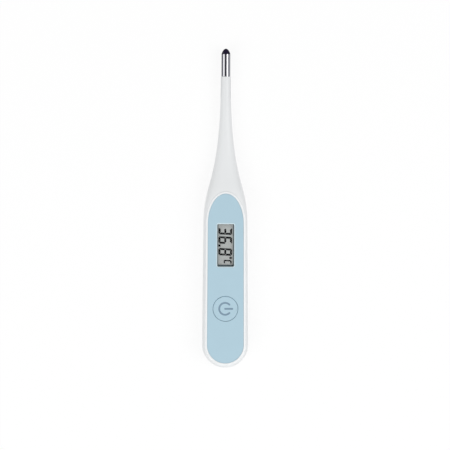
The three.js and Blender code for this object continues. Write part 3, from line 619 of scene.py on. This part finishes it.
# Button well and the cup under it
button = {
    "setback": 14.5 * mm,
    "radius": 4.94 * mm,
    "holeRadius": 5.07 * mm,
    "holeEdge": 0.12 * mm,
    "flangeRadius": 5.7 * mm,
    "wellRadius": 5.95 * mm,
    "cupWall": 0.9 * mm,
    "ledgeRadius": 4.4 * mm,
    "ledgeTop": 8.29 * mm,
    "ledgeThickness": 0.75 * mm,
    "steps": 96,
}
buttonY = tailY + button["setback"]


# Cradle, rails and bosses inside the front shell
inside = {
    "cellSetback": 0.3 * mm,
    "cellRadius": 3.95 * mm,
    "cradleGap": 0.3 * mm,
    "cradleWall": 0.9 * mm,
    "cradleSlotHalf": 2 * mm,
    "cradleDoorGap": 0.6 * mm,
    "cradleSteps": 96,
    "railInner": 5.95 * mm,
    "railOuter": 6.55 * mm,
    "railLip": 0.65 * mm,
    "railLipTop": 3.35 * mm,
    "railLipHeight": 0.7 * mm,
    "railEndSetback": 0.9 * mm,
    "bossRadius": 1.6 * mm,
    "pilotRadius": 0.63 * mm,
    "pilotDepth": 2.3 * mm,
    "bossSetbacks": (55.6 * mm, 24.6 * mm),
    "bossSteps": 32,
}
cellY = tailY + inside["cellSetback"]
boardTopZ = seamZ


def cellCradle():
    inner = inside["cellRadius"] + inside["cradleGap"]
    outer = inner + inside["cradleWall"]
    foot = form["wall"] + inside["cradleDoorGap"]
    slotHalf, steps = inside["cradleSlotHalf"], inside["cradleSteps"]
    slotEnd = cellY + outer + overrun
    return combined(post(outer, cellY, foot, midWallZ, steps), [
        (minus, post(inner, cellY, foot - overrun, ceilingZ, steps)),
        (minus, block(-slotHalf, slotHalf, cellY, slotEnd, foot - overrun, ceilingZ)),
    ])


def doorRail():
    shelf, outer = inside["railLipTop"], inside["railOuter"]
    foot, lip = shelf - inside["railLipHeight"], outer + inside["railLip"]
    ends = (tailY - inside["railEndSetback"], doorY)
    return steppedBar(inside["railInner"], outer, lip, foot, shelf, midWallZ, *ends)


def halfWidthAt(y):
    stations = bodyStations()
    for (y0, half0), (y1, half1) in zip(stations, stations[1:]):
        if y1 <= y <= y0:
            return half0 + (half1 - half0) * (y0 - y) / (y0 - y1)
    return stations[0][1] if y > stations[0][0] else tailRadius


def nearOutside(edge):
    # the edge lies on the outer skin, not on the room's wall
    middle = (edge.verts[0].co + edge.verts[1].co) / 2
    depth = form["wall"] / 2
    if middle.y < tailY:
        return hypot(middle.x, middle.y - tailY) > tailRadius - depth
    return abs(middle.x) > halfWidthAt(middle.y) - depth


def softenSeam(bm, height):
    # rounds the outer edges that lie in a level plane
    edges = [
        e for e in bm.edges
        if all(abs(v.co.z - height) < levelDistance for v in e.verts)
        and e.calc_face_angle(0) > smoothBelow and nearOutside(e)
    ]
    bmesh.ops.bevel(
        bm, geom=edges, offset=form["seamEdge"], offset_type="OFFSET", affect="EDGES",
        segments=form["seamEdgeSteps"], profile=0.5, material=-1, clamp_overlap=False,
    )
    return bm


def frontShell():
    ledge, steps = button["ledgeTop"], button["steps"]
    cupBottom = ledge - button["ledgeThickness"]
    gasket = window["gasketPocket"]
    lensPocket = slabOver(lensLow, lensHigh, window["pocketGap"], lensLow.z, recessZ + overrun)
    stages = [
        (plus, rimPlate()),
        (minus, block(-reach, reach, -reach, splitY, -overrun, seamZ)),
        (minus, innerRoom()),
        (minus, panelRecess()),
        (minus, windowStack([(gasket, ceilingZ - overrun), (gasket, recessZ + overrun)])),
        (minus, lensPocket),
        (plus, post(button["wellRadius"] + button["cupWall"], buttonY, cupBottom, midWallZ, steps)),
        (minus, post(button["wellRadius"], buttonY, ledge, rimZ, steps)),
        (minus, post(button["ledgeRadius"], buttonY, cupBottom - overrun, rimZ, steps)),
        (plus, cellCradle()),
        (plus, bothSides(doorRail())),
    ]
    for setback in inside["bossSetbacks"]:
        y, pilotTop, bossSteps = tailY + setback, boardTopZ + inside["pilotDepth"], inside["bossSteps"]
        stages += [
            (plus, post(inside["bossRadius"], y, boardTopZ, midWallZ, bossSteps)),
            (minus, post(inside["pilotRadius"], y, boardTopZ - overrun, pilotTop, bossSteps)),
        ]
    return softenSeam(combined(outerForm(), stages), seamZ)


piece("frontCase", frontShell(), [whitePlastic, rimPaintedLight], "housing", "case_white", "front_shell")


# Rear shell: the back of the handle, between the battery door and the one-piece neck
rear = {
    "ribThickness": 1 * mm,
    "ribHalf": 5 * mm,
    "ribTop": 4.1 * mm,
    "ribSetbacks": (18.2 * mm, 35.4 * mm, 50.4 * mm),
    "tabSetbacks": (19 * mm, 45 * mm),
    "tabLength": 5 * mm,
    "tabThickness": 0.7 * mm,
    "tabGap": 0.2 * mm,
    "tabBottom": 3.6 * mm,
    "tabTop": 6.6 * mm,
    "lipHalf": 4.6 * mm,
    "lipLength": 1.6 * mm,
    "lipGap": 0.1 * mm,
}


def backPart(y0, y1, details):
    # the body's back between two planes across it, hollowed and given its details
    top = seamZ - form["seamGap"]
    region = block(-reach, reach, y0, y1, -overrun, top)
    stages = [(common, region), (minus, innerRoom()), *details]
    return softenSeam(combined(outerForm(), stages), top)


def keyTab(setback):
    y, half = tailY + setback, rear["tabLength"] / 2
    outer = halfWidthAt(y) - form["wall"] - rear["tabGap"]
    inner, root = outer - rear["tabThickness"], outer + form["wall"] / 2
    shelf = seamZ - 2 * form["seamGap"]
    return steppedBar(inner, outer, root, rear["tabBottom"], shelf, rear["tabTop"], y - half, y + half)


def rearShell():
    lapHalf = rear["lipHalf"] + rear["lipGap"]
    lapEnd = doorY + rear["lipLength"] + rear["lipGap"]
    lap = block(-lapHalf, lapHalf, doorY - overrun, lapEnd, form["wall"] / 2, form["wall"] + overrun)
    details = [(minus, lap)]
    for setback in rear["ribSetbacks"]:
        y, half, side = tailY + setback, rear["ribThickness"] / 2, rear["ribHalf"]
        rib = block(-side, side, y - half, y + half, form["wall"] / 2, rear["ribTop"])
        details.append((plus, rib))
    details += [(plus, bothSides(keyTab(setback))) for setback in rear["tabSetbacks"]]
    return backPart(doorY + form["seamGap"] / 2, splitY - form["seamGap"], details)


piece("rearCase", rearShell(), [whitePlastic], "housing", "case_white", "rear_shell")


# Battery door, with its tongues, lip and thumb grooves
door = {
    "tongueInner": 6.75 * mm,
    "tongueBottom": 3.55 * mm,
    "tongueTop": 4.25 * mm,
    "tongueEndCover": 0.2 * mm,
    "tongueBack": 0.6 * mm,
    "lipBottom": 0.75 * mm,
    "grooves": 5,
    "grooveSpacing": 1.6 * mm,
    "grooveWidth": 0.7 * mm,
    "grooveDepth": 0.35 * mm,
    "grooveHalf": 4.2 * mm,
    "grooveSetback": 1.2 * mm,
    "grooveSteps": 5,
    "grooveRoundness": 0.98,     # 1 would leave no flat at the grooves' ends
}


def thumbGroove(number):
    # a bar with round ends and a round bottom
    half = door["grooveWidth"] / 2
    y = tailY + door["grooveSetback"] + number * door["grooveSpacing"] + half
    turns = quarterArc(door["grooveSteps"])[:-1]
    levels = [(half, -overrun)] + [(half * cos(t), door["grooveDepth"] * sin(t)) for t in turns]
    rows = []
    for width, z in levels:
        length = 2 * (door["grooveHalf"] - half + width)
        corner = width * door["grooveRoundness"]
        rows.append(roundedRectangle(length, 2 * width, corner, z, 0, y))
    return loft(rows)


def batteryDoor():
    tongue = block(
        door["tongueInner"], tailRadius - form["wall"] / 2,
        tailY - inside["railEndSetback"] + door["tongueEndCover"], doorY - door["tongueBack"],
        door["tongueBottom"], door["tongueTop"],
    )
    half, length = rear["lipHalf"], rear["lipLength"]
    lip = block(-half, half, doorY - length, doorY + length, door["lipBottom"], form["wall"])
    grooves = [(minus, thumbGroove(number)) for number in range(door["grooves"])]
    details = [(plus, bothSides(tongue)), (plus, lip), *grooves]
    return backPart(-reach, doorY - form["seamGap"] / 2, details)


piece("batteryCover", batteryDoor(), [whitePlastic], "door", "case_white", "battery_door")


# Front panel, with a paler material on the window's chamfer as a painted highlight, and the button's hole
def holeCutter():
    radius, bottom, top = button["holeRadius"], panelLow.z - overrun, panelHigh.z + overrun
    edge = [(radius - inset, z) for inset, z in fillet(0, panelHigh.z, -button["holeEdge"])]
    profile = [(0, bottom), (radius, bottom), *edge, (edge[-1][0], top), (0, top)]
    return turned(profile, button["steps"], 0, buttonY)


def frontPanel():
    side, back = panel["gap"] / 2, panel["backEdge"]
    foot = [(side + back, panelLow.z), (side, panelLow.z + back)]
    sheet = outlineStack(foot + fillet(side, panelHigh.z, panel["edge"]))
    slope = window["chamfer"]
    opening = windowStack([
        (0, panelLow.z - overrun), (0, panelHigh.z - slope),
        (slope, panelHigh.z), (slope + overrun, panelHigh.z + overrun),
    ])
    # the chamfer's faces take the paler material, a painted highlight along the window's edge
    least, most = window["chamferSlopes"]
    for face in opening.faces:
        if least < abs(face.normal.z) < most:
            face.material_index = 1
    return combined(sheet, [(minus, opening), (minus, holeCutter())])


piece("bluePlate", frontPanel(), [bluePanel, chamferPaintedHighlight], "housing", "panel_blue", "front_panel")
print("case made")


# Display: clear window, dark frame and digits
clearPlastic = glassMaterial("clearPlastic", (250, 252, 252), {
    "tone": 0.01, "toneScale": 300.0, "roughness": 0.03, "roughSpread": 0.02,
    "grainScale": 9000.0, "depth": 0.0002 * mm, "plain": {"IOR": 1.2, "Transmission Weight": 1.0},
})
display = {
    "lensGap": 0.04 * mm,
    "lensChamfer": 0.12 * mm,
    "openingWidth": 6.05 * mm,
    "openingLength": 16.17 * mm,
    # the frame's opening is set off towards the tip so its wider border on the tail side paints the shade
    # of the window's recess walls
    "paintedShadeShift": (0, 0.2 * mm),
    "inkThickness": 0.012 * mm,
    "inkLift": 0.002 * mm,
}
gasketLow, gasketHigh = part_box("display_gasket")
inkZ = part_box("display_front_polariser")[1].z + display["inkLift"]


def displayWindow():
    flange = slabOver(lensLow, lensHigh, 0, lensLow.z, recessZ)
    gap, slope = display["lensGap"], display["lensChamfer"]
    face = windowStack([(-gap, lensLow.z + gap), (-gap, lensHigh.z - slope), (-gap - slope, lensHigh.z)])
    return combined(flange, [(plus, face)])


def displayFrame():
    # the dark foam frame under the lens; its border, sized and set off from the window, paints the shade
    # of the recess walls
    outer = slabOver(gasketLow, gasketHigh, 0, gasketLow.z, gasketHigh.z)
    width, length, corner = display["openingWidth"], display["openingLength"], window["corner"] / 2
    x, y = display["paintedShadeShift"]
    opening = loft([
        roundedRectangle(width, length, corner, z, x, windowY + y)
        for z in (gasketLow.z - overrun, gasketHigh.z + overrun)
    ])
    return combined(outer, [(minus, opening)])


piece("windowLens", displayWindow(), [clearPlastic], "housing", "window_clear", "display_window")
piece("displayFrame", displayFrame(), [foamWithPaintedShade], "housing", "foam_black", "display_gasket")


# Digits read towards the tail with their tops to the right: across runs along -Y and up along +X
digits = {
    "foot": -2.82 * mm,
    "height": 5.42 * mm,
    "width": 2.95 * mm,
    "stroke": 0.82 * mm,
    "joint": 0.055 * mm,     # from a bar's end to where the next bar begins
    "cut": 0.42 * mm,        # off the outer corners
    "lean": 0.05,            # how far the tops lean along the line, for each unit of height
    "shown": (("3", 7.78 * mm), ("6", 11.46 * mm), ("8", 16.15 * mm)),
    "pointAt": (15.18 * mm, -2.44 * mm),
    "pointHalf": 0.44 * mm,
    "degreeAt": (20 * mm, 2.03 * mm),
    "degreeRadii": (0.1 * mm, 0.52 * mm),
    "degreeSteps": 24,
    "unitLeft": 20.78 * mm,
    "unitWidth": 1.38 * mm,
    "unitFoot": -0.74 * mm,
    "unitHeight": 3.18 * mm,
    "unitStroke": 0.56 * mm,
    "unitCorner": 0.4 * mm,
}
# each bar's two ends as (column, level)
segmentEnds = {
    "a": ((0, 2), (1, 2)), "g": ((0, 1), (1, 1)), "d": ((0, 0), (1, 0)),
    "f": ((0, 1), (0, 2)), "b": ((1, 1), (1, 2)), "e": ((0, 0), (0, 1)), "c": ((1, 0), (1, 1)),
}
segmentsOf = {"3": "abcdg", "6": "acdefg", "8": "abcdefg"}


def inkPatch(bm, corners):
    # a thin raised patch of ink with the given (across, up) corners
    verts = [bm.verts.new((up, -across - digits["lean"] * up, inkZ)) for across, up in corners]
    face = bm.faces.new(verts)
    raised = bmesh.ops.extrude_face_region(bm, geom=[face])["geom"]
    lifted = [v for v in raised if isinstance(v, bmesh.types.BMVert)]
    bmesh.ops.translate(bm, vec=(0, 0, display["inkThickness"]), verts=lifted)


def glyph(bm, character, left):
    # seven-segment bars: the outer ones meet in mitred corners, the middle one has pointed ends
    foot, height, joint, cut = (digits[key] for key in ("foot", "height", "joint", "cut"))
    half = digits["stroke"] / 2
    columns = (left + half, left + digits["width"] - half)
    levels = (foot + half, foot + height / 2, foot + height - half)
    # each end as (along, outwards) from where the middle lines of two bars cross
    corner = [(cut - half, half), (cut / 2 - half, half - cut / 2), (half, -half)]
    waist = [(0, half), (0, 0), (half, -half)]
    pointed = [(half, half), (0, 0), (half, -half)]
    for name in segmentsOf[character]:
        (column0, level0), (column1, level1) = segmentEnds[name]
        lying = level0 == level1
        if lying:
            first, last, place = columns[column0], columns[column1], levels[level0]
            shapes = [pointed if level0 == 1 else corner] * 2
            outward = level0 - 1 or 1
        else:
            first, last, place = levels[level0], levels[level1], columns[column0]
            shapes = [waist if level == 1 else corner for level in (level0, level1)]
            outward = 2 * column0 - 1
        outline = [(first + joint + along, place + outward * out) for along, out in shapes[0]]
        outline += [(last - joint - along, place + outward * out) for along, out in reversed(shapes[1])]
        inkPatch(bm, outline if lying else [(across, up) for up, across in outline])


def unitLetter(bm):
    # the C, as one bent stroke with its two outer corners cut
    left, foot, stroke, cut = (digits[key] for key in ("unitLeft", "unitFoot", "unitStroke", "unitCorner"))
    right, top = left + digits["unitWidth"], foot + digits["unitHeight"]
    lower = [
        (left, foot + cut), (left + cut, foot), (right, foot),
        (right, foot + stroke), (left + stroke, foot + stroke),
    ]
    inkPatch(bm, lower + [(across, top + foot - up) for across, up in reversed(lower)])


def displayInk():
    bm = bmesh.new()
    for character, left in digits["shown"]:
        glyph(bm, character, left)
    unitLetter(bm)
    across, up = digits["pointAt"]
    half = digits["pointHalf"]
    square = ((-half, -half), (half, -half), (half, half), (-half, half))
    inkPatch(bm, [(across + x, up + y) for x, y in square])
    bmesh.ops.recalc_face_normals(bm, faces=bm.faces)
    inner, outer = digits["degreeRadii"]
    top = inkZ + display["inkThickness"]
    across, up = digits["degreeAt"]
    profile = [(inner, inkZ), (outer, inkZ), (outer, top), (inner, top), (inner, inkZ)]
    return joined(bm, turned(profile, digits["degreeSteps"], up, -across))


inkLook = {
    "tone": 0.3, "toneScale": 400.0, "roughness": 0.6, "roughSpread": 0.1,
    "grainScale": 9000.0, "depth": 0.0, "plain": {"Specular IOR Level": 0.05},
}
displayInkBlack = mouldedMaterial("displayInkBlack", (9, 10, 12), inkLook)
piece("displayDigits", displayInk(), [displayInkBlack], "housing", "polariser_grey")
print("display made")


# Power button: a dished cap with a flange, a stiffening ring and a stem
buttonLow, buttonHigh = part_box("power_button")
cap = {
    "edge": 0.2 * mm,
    "edgeSteps": 5,
    "dish": 0.16 * mm,
    "dishSteps": 8,
    "flangeTop": buttonHigh.z - 0.88 * mm,
    "flangeThickness": 0.45 * mm,
    "stemRadius": 1.4 * mm,
    "ringRadii": (3.4 * mm, 4 * mm),
    "ringDepth": 0.5 * mm,
}
sign = {
    "centreX": -0.12 * mm,
    "outerRadius": 2.74 * mm,
    "stroke": 0.74 * mm,
    "gapHalf": radians(36),
    "barEnd": 3.22 * mm,
    "lift": 0.001 * mm,
    "thickness": 0.012 * mm,
    "arcSteps": 72,
    "endSteps": 5,
    "endShare": 0.04,      # of the stroke's width, where its round ends begin
}


def dishZ(radius):
    rim = button["radius"] - cap["edge"]
    return buttonHigh.z - cap["dish"] * (1 - min(1, radius / rim) ** 2)


def powerButton():
    radius, edge, steps = button["radius"], cap["edge"], cap["dishSteps"]
    inner, outer = cap["ringRadii"]
    stem, wide, bottom = cap["stemRadius"], button["flangeRadius"], buttonLow.z
    top = cap["flangeTop"]
    flange = top - cap["flangeThickness"]
    ring = flange - cap["ringDepth"]
    profile = [
        (0, bottom), (stem, bottom), (stem, flange), (inner, flange), (inner, ring),
        (outer, ring), (outer, flange), (wide, flange), (wide, top), (radius, top),
    ]
    profile += [(radius - inset, z) for inset, z in fillet(0, buttonHigh.z, edge, cap["edgeSteps"])]
    rim = radius - edge
    dish = [rim * step / steps for step in reversed(range(steps))]
    profile += [(r, dishZ(r)) for r in dish]
    return turned(profile, button["steps"], 0, buttonY)


def strokeRing(centre, across, half):
    # the printed stroke's section: flat, as wide as 2 half, following the dish
    points = []
    for side, lift in ((-1, 0), (1, 0), (1, sign["thickness"]), (-1, sign["thickness"])):
        x = sign["centreX"] + centre[0] + side * half * across[0]
        y = centre[1] + side * half * across[1]
        points.append((x, buttonY + y, dishZ(hypot(x, y)) + sign["lift"] + lift))
    return points


def roundEnds(length, half):
    # (along, half width) of a stroke with round ends
    turns = quarterArc(sign["endSteps"])[:-1]
    start = [(half * (1 - cos(t)), half * max(sin(t), sign["endShare"])) for t in turns]
    straight = [(half, half), (length - half, half)]
    return start + straight + [(length - along, width) for along, width in reversed(start)]


def powerSign():
    half, steps = sign["stroke"] / 2, sign["arcSteps"]
    radius = sign["outerRadius"] - half
    arcLength = radius * 2 * (pi - sign["gapHalf"])
    stations = roundEnds(arcLength, half)
    after = sign["endSteps"] + 1
    run = arcLength - 2 * half
    stations[after:after] = [(half + run * step / steps, half) for step in range(1, steps)]
    arc = []
    for along, width in stations:
        turn = sign["gapHalf"] + along / radius
        across = (cos(turn), sin(turn))
        arc.append(strokeRing((radius * across[0], radius * across[1]), across, width))
    stations = roundEnds(sign["barEnd"] + half, half)
    line = [strokeRing((along - half, 0), (0, 1), width) for along, width in stations]
    return joined(loft(arc), loft(line))


signInk = mouldedMaterial("signInk", (122, 148, 168), {**panelLook, "depth": 0.001 * mm})
piece("powerButton", powerButton(), [bluePanel], "button", "panel_blue", "power_button")
piece("powerSign", powerSign(), [signInk], "button", "panel_blue")
print("button made")


# Steel tip, turned about the stem's axis
tip = {
    "radius": 1.75 * mm,
    "wall": 0.2 * mm,
    "noseStart": 2.6 * mm,     # behind the solid's end
    "noseLength": 2.24 * mm,
    "nosePower": 1.3,          # 2 is an ellipse, less is more pointed
    "noseSteps": 18,
    "mouthEdge": 0.06 * mm,
    "steps": 64,
    # where the painted reflection on the nose begins, and how softly
    "paintedReflectionLength": 2.72 * mm,   # from the solid's end to where the end darkens
    "paintedReflectionEdge": 0.2 * mm,
}


def noseCurve(inset):
    # from the side of the sleeve to its end, on a surface that lies inset deep
    start = tipHigh.y - tip["noseStart"]
    radius, length = tip["radius"] - inset, tip["noseLength"] - inset
    points = []
    for turn in quarterArc(tip["noseSteps"])[:-1]:
        rise = length * sin(turn) ** (2 / tip["nosePower"])
        points.append((radius * cos(turn), start + rise))
    return [*points, (0, start + length)]


def turnedAlongStem(profile):
    bm = turned(profile, tip["steps"])
    bmesh.ops.rotate(bm, cent=(0, 0, 0), matrix=Matrix.Rotation(-quarterTurn, 3, "X"), verts=bm.verts)
    bmesh.ops.translate(bm, vec=(0, 0, seamZ), verts=bm.verts)
    return bm


def probeTip():
    outer, inner, edge = tip["radius"], tip["radius"] - tip["wall"], tip["mouthEdge"]
    profile = [(inner, tipLow.y), (outer - edge, tipLow.y), (outer, tipLow.y + edge)]
    profile += [*noseCurve(0), *reversed(noseCurve(tip["wall"]))]
    return turnedAlongStem([*profile, (inner, tipLow.y)])


# Cast resin behind the nose, with a pocket for the sensor
resin = {
    "gap": 0.1 * mm,
    "pocketRadius": 0.95 * mm,
    "pocketDepth": 3.9 * mm,
}


def tipResin():
    inset, pocket = tip["wall"] + resin["gap"], resin["pocketRadius"]
    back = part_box("tip_potting")[0].y
    front = back + resin["pocketDepth"]
    profile = [(0, front), (pocket, front), (pocket, back), (tip["radius"] - inset, back)]
    return turnedAlongStem(profile + noseCurve(inset))


def paintNoseReflection(material, steel, dark):
    # the rounded end is painted nearly black, a painted reflection of dark surroundings, with a narrow
    # soft edge towards the sleeve
    tree = material.node_tree
    place = addNode(tree, "SeparateXYZ", {0: tree.nodes["Texture Coordinate"].outputs["Object"]})
    start = tipHigh.y - tip["paintedReflectionLength"]
    ends = {"From Min": start, "From Max": start + tip["paintedReflectionEdge"]}
    share = addNode(tree, "MapRange", {"Value": place["Y"], **ends})
    ramp = tree.nodes.new("ShaderNodeValToRGB")
    ramp.color_ramp.interpolation = "EASE"
    for element, color in zip(ramp.color_ramp.elements, (steel, dark)):
        element.color = paint(color)
    color = feed(tree, ramp, {"Fac": share["Result"]})["Color"]
    feed(tree, tree.nodes["Principled BSDF"], {"Base Color": color})


steelColor = (236, 236, 240)
polishedSteel = metalMaterial("polishedSteel", steelColor, {
    "stretch": (0.02, 1.0, 0.02), "lineScale": 9000.0, "depth": 0.00012 * mm,
    "roughness": 0.06, "roughSpread": 0.05,
})
# the nose's near-black violet tone is a painted reflection of dark surroundings
paintNoseReflection(polishedSteel, steelColor, (34, 29, 48))
piece("steelTip", probeTip(), [polishedSteel], "housing", "probe_steel", "probe_tip")
tipEpoxy = mouldedMaterial("tipEpoxy", (52, 46, 40), blackLook)
piece("tipResin", tipResin(), [tipEpoxy], "housing", "tip_epoxy", "tip_potting")
print("tip made")


# Carried pieces, which keep their own meshes: a material each, smooth faces and sharp folds
def dressed(material, *names):
    for name in names:
        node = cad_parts[name]
        node.data.materials.clear()
        node.data.materials.append(material)
        for polygon in node.data.polygons:
            polygon.use_smooth = True
        weld = node.modifiers.new("joinSeams", "WELD")
        weld.merge_threshold = mergeDistance
        split = node.modifiers.new("sharpFolds", "EDGE_SPLIT")
        split.split_angle = smoothBelow


boardLook = {
    "tone": 0.12, "toneScale": 260.0, "roughness": 0.35, "roughSpread": 0.1,
    "grainScale": 2500.0, "depth": 0.004 * mm,
}
metalLook = {
    "stretch": (1.0, 0.05, 1.0), "lineScale": 3000.0, "depth": 0.0008 * mm,
    "roughness": 0.28, "roughSpread": 0.12,
}
displayLook = {
    "tone": 0.14, "toneScale": 330.0, "roughness": 0.55, "roughSpread": 0.1,
    "grainScale": 4000.0, "depth": 0.001 * mm,
}
dressed(mouldedMaterial("adhesiveFilm", (214, 213, 204), softLook), "panel_adhesive")
dressed(
    mouldedMaterial("displayGrey", (179, 180, 178), displayLook),
    "display_front_polariser", "display_rear_polariser",
)
dressed(clearPlastic, "display_front_glass", "display_rear_glass")
dressed(blackPlastic, "display_holder", "switch_housing", "resistor_1", "resistor_2", "resistor_3")
dressed(
    mouldedMaterial("stripRubber", (143, 146, 150), softLook),
    "contact_strip_left", "contact_strip_right",
)
dressed(mouldedMaterial("boardGreen", (34, 98, 64), boardLook), "circuit_board")
dressed(mouldedMaterial("darkResin", (42, 37, 34), blackLook), "chip_glob", "sensor_bead")
dressed(
    mouldedMaterial("paleCeramic", (222, 219, 210), softLook),
    "capacitor_1", "capacitor_2", "capacitor_3", "buzzer_disc", "switch_plunger", "cell_seal",
)
dressed(
    metalMaterial("springNickel", (204, 202, 196), metalLook),
    "switch_cover", "board_screw_front", "board_screw_rear", "cell_contact_top", "cell_contact_side",
)
cellLook = {**metalLook, "stretch": (1.0, 1.0, 0.1), "depth": 0.0003 * mm, "roughSpread": 0.04}
dressed(metalMaterial("cellSteel", (206, 207, 210), cellLook), "cell_can", "cell_cap")
dressed(metalMaterial("buzzerBrass", (205, 170, 98), metalLook), "buzzer_plate")
dressed(
    mouldedMaterial("redWire", (156, 57, 48), smoothPlastic),
    "buzzer_wire_plate", "buzzer_wire_disc", "sensor_lead_left", "sensor_lead_right",
)
print("carried pieces dressed")


# Floor, world and lamps
stageLook = {
    "floorSize": 6.0,
    "floorWhite": 0.93,
    "openShare": 0.8,      # how much of the floor is plain white to the camera
    "floorGlow": 1.03,
    "worldStrength": 0.56,
    "lampSize": 0.9,
    "lamps": (((0.7, -0.25, 1.1), 4.95), ((-0.66, -0.6, 1.05), 4.8)),    # place and power
}


def seenDirectly(tree):
    # 1 for camera, mirror and glass rays
    light = addNode(tree, "LightPath", {})
    both = maths(tree, "MAXIMUM", light["Is Camera Ray"], light["Is Glossy Ray"])
    return maths(tree, "MAXIMUM", both, light["Is Transmission Ray"])


def stageMaterial(name):
    # an empty material, its tree and the socket that its shader goes to
    material, tree = newMaterial(name)
    tree.nodes.clear()
    return material, tree, tree.nodes.new("ShaderNodeOutputMaterial").inputs["Surface"]


def makeFloor():
    material, tree, surface = stageMaterial("palePaper")
    paper = addNode(tree, "BsdfDiffuse", {"Color": (*[stageLook["floorWhite"]] * 3, 1)})[0]
    glow = addNode(tree, "Emission", {"Strength": stageLook["floorGlow"]})[0]
    share = maths(tree, "MULTIPLY", seenDirectly(tree), stageLook["openShare"])
    mixShaders(tree, share, paper, glow, surface)
    bm = bmesh.new()
    bmesh.ops.create_grid(bm, x_segments=1, y_segments=1, size=stageLook["floorSize"] / 2)
    floor = meshObject("floor", bm, material)


def makeWorld():
    world = bpy.data.worlds.new("softRoom")
    world.use_nodes = True
    tree, least = world.node_tree, stageLook["worldStrength"]
    strength = maths(tree, "MULTIPLY_ADD", seenDirectly(tree), 1 - least, least)
    feed(tree, tree.nodes["Background"], {"Color": (1, 1, 1, 1), "Strength": strength})
    scene.world = world


def makeLamps():
    for number, (place, power) in enumerate(stageLook["lamps"], 1):
        data = bpy.data.lights.new(f"softLamp{number}", "AREA")
        data.energy = power
        data.size = stageLook["lampSize"]
        lamp = linked(f"softLamp{number}", data)
        lamp.location = place
        lamp.rotation_euler = (-Vector(place)).to_track_quat("-Z", "Y").to_euler()


# Dark and grey cards that only mirrors see, for the tip's reflections
cardLift = 0.3 * mm
cardTop = seamZ + 60 * mm
cards = {     # long edges as (x, z), ends along y, colour
    "Overhead": ((-43.5 * mm, cardTop), (28.5 * mm, cardTop), (44 * mm, 86 * mm), (66, 65, 70)),
    "FloorLeft": ((-1.5 * mm, cardLift), (-90 * mm, cardLift), (44 * mm, 68 * mm), (106, 106, 112)),
    "SideLeft": ((-90 * mm, cardLift), (-90 * mm, 19 * mm), (44 * mm, 68 * mm), (106, 106, 112)),
    "FloorRight": ((1.5 * mm, cardLift), (90 * mm, cardLift), (44 * mm, 68 * mm), (150, 150, 154)),
    "SideRight": ((90 * mm, cardLift), (90 * mm, 86 * mm), (44 * mm, 68 * mm), (150, 150, 154)),
}


def reflectionCard(name, edge, otherEdge, ends, color):
    # a strip between its two long edges
    (x0, z0), (x1, z1), (y0, y1) = edge, otherEdge, ends
    corners = [(x0, y0, z0), (x1, y0, z1), (x1, y1, z1), (x0, y1, z0)]
    bm = bmesh.new()
    bm.faces.new([bm.verts.new(corner) for corner in corners])
    material, tree, surface = stageMaterial(name)
    glow = addNode(tree, "Emission", {"Color": paint(color)})
    tree.links.new(glow[0], surface)
    card = meshObject(name, bm, material)
    for kind in ("camera", "diffuse", "transmission", "volume_scatter", "shadow"):
        setattr(card, "visible_" + kind, False)


for side, layout in cards.items():
    reflectionCard("card" + side, *layout)
makeFloor()
makeWorld()
makeLamps()
scene.view_settings.view_transform = "Standard"
print("stage made")
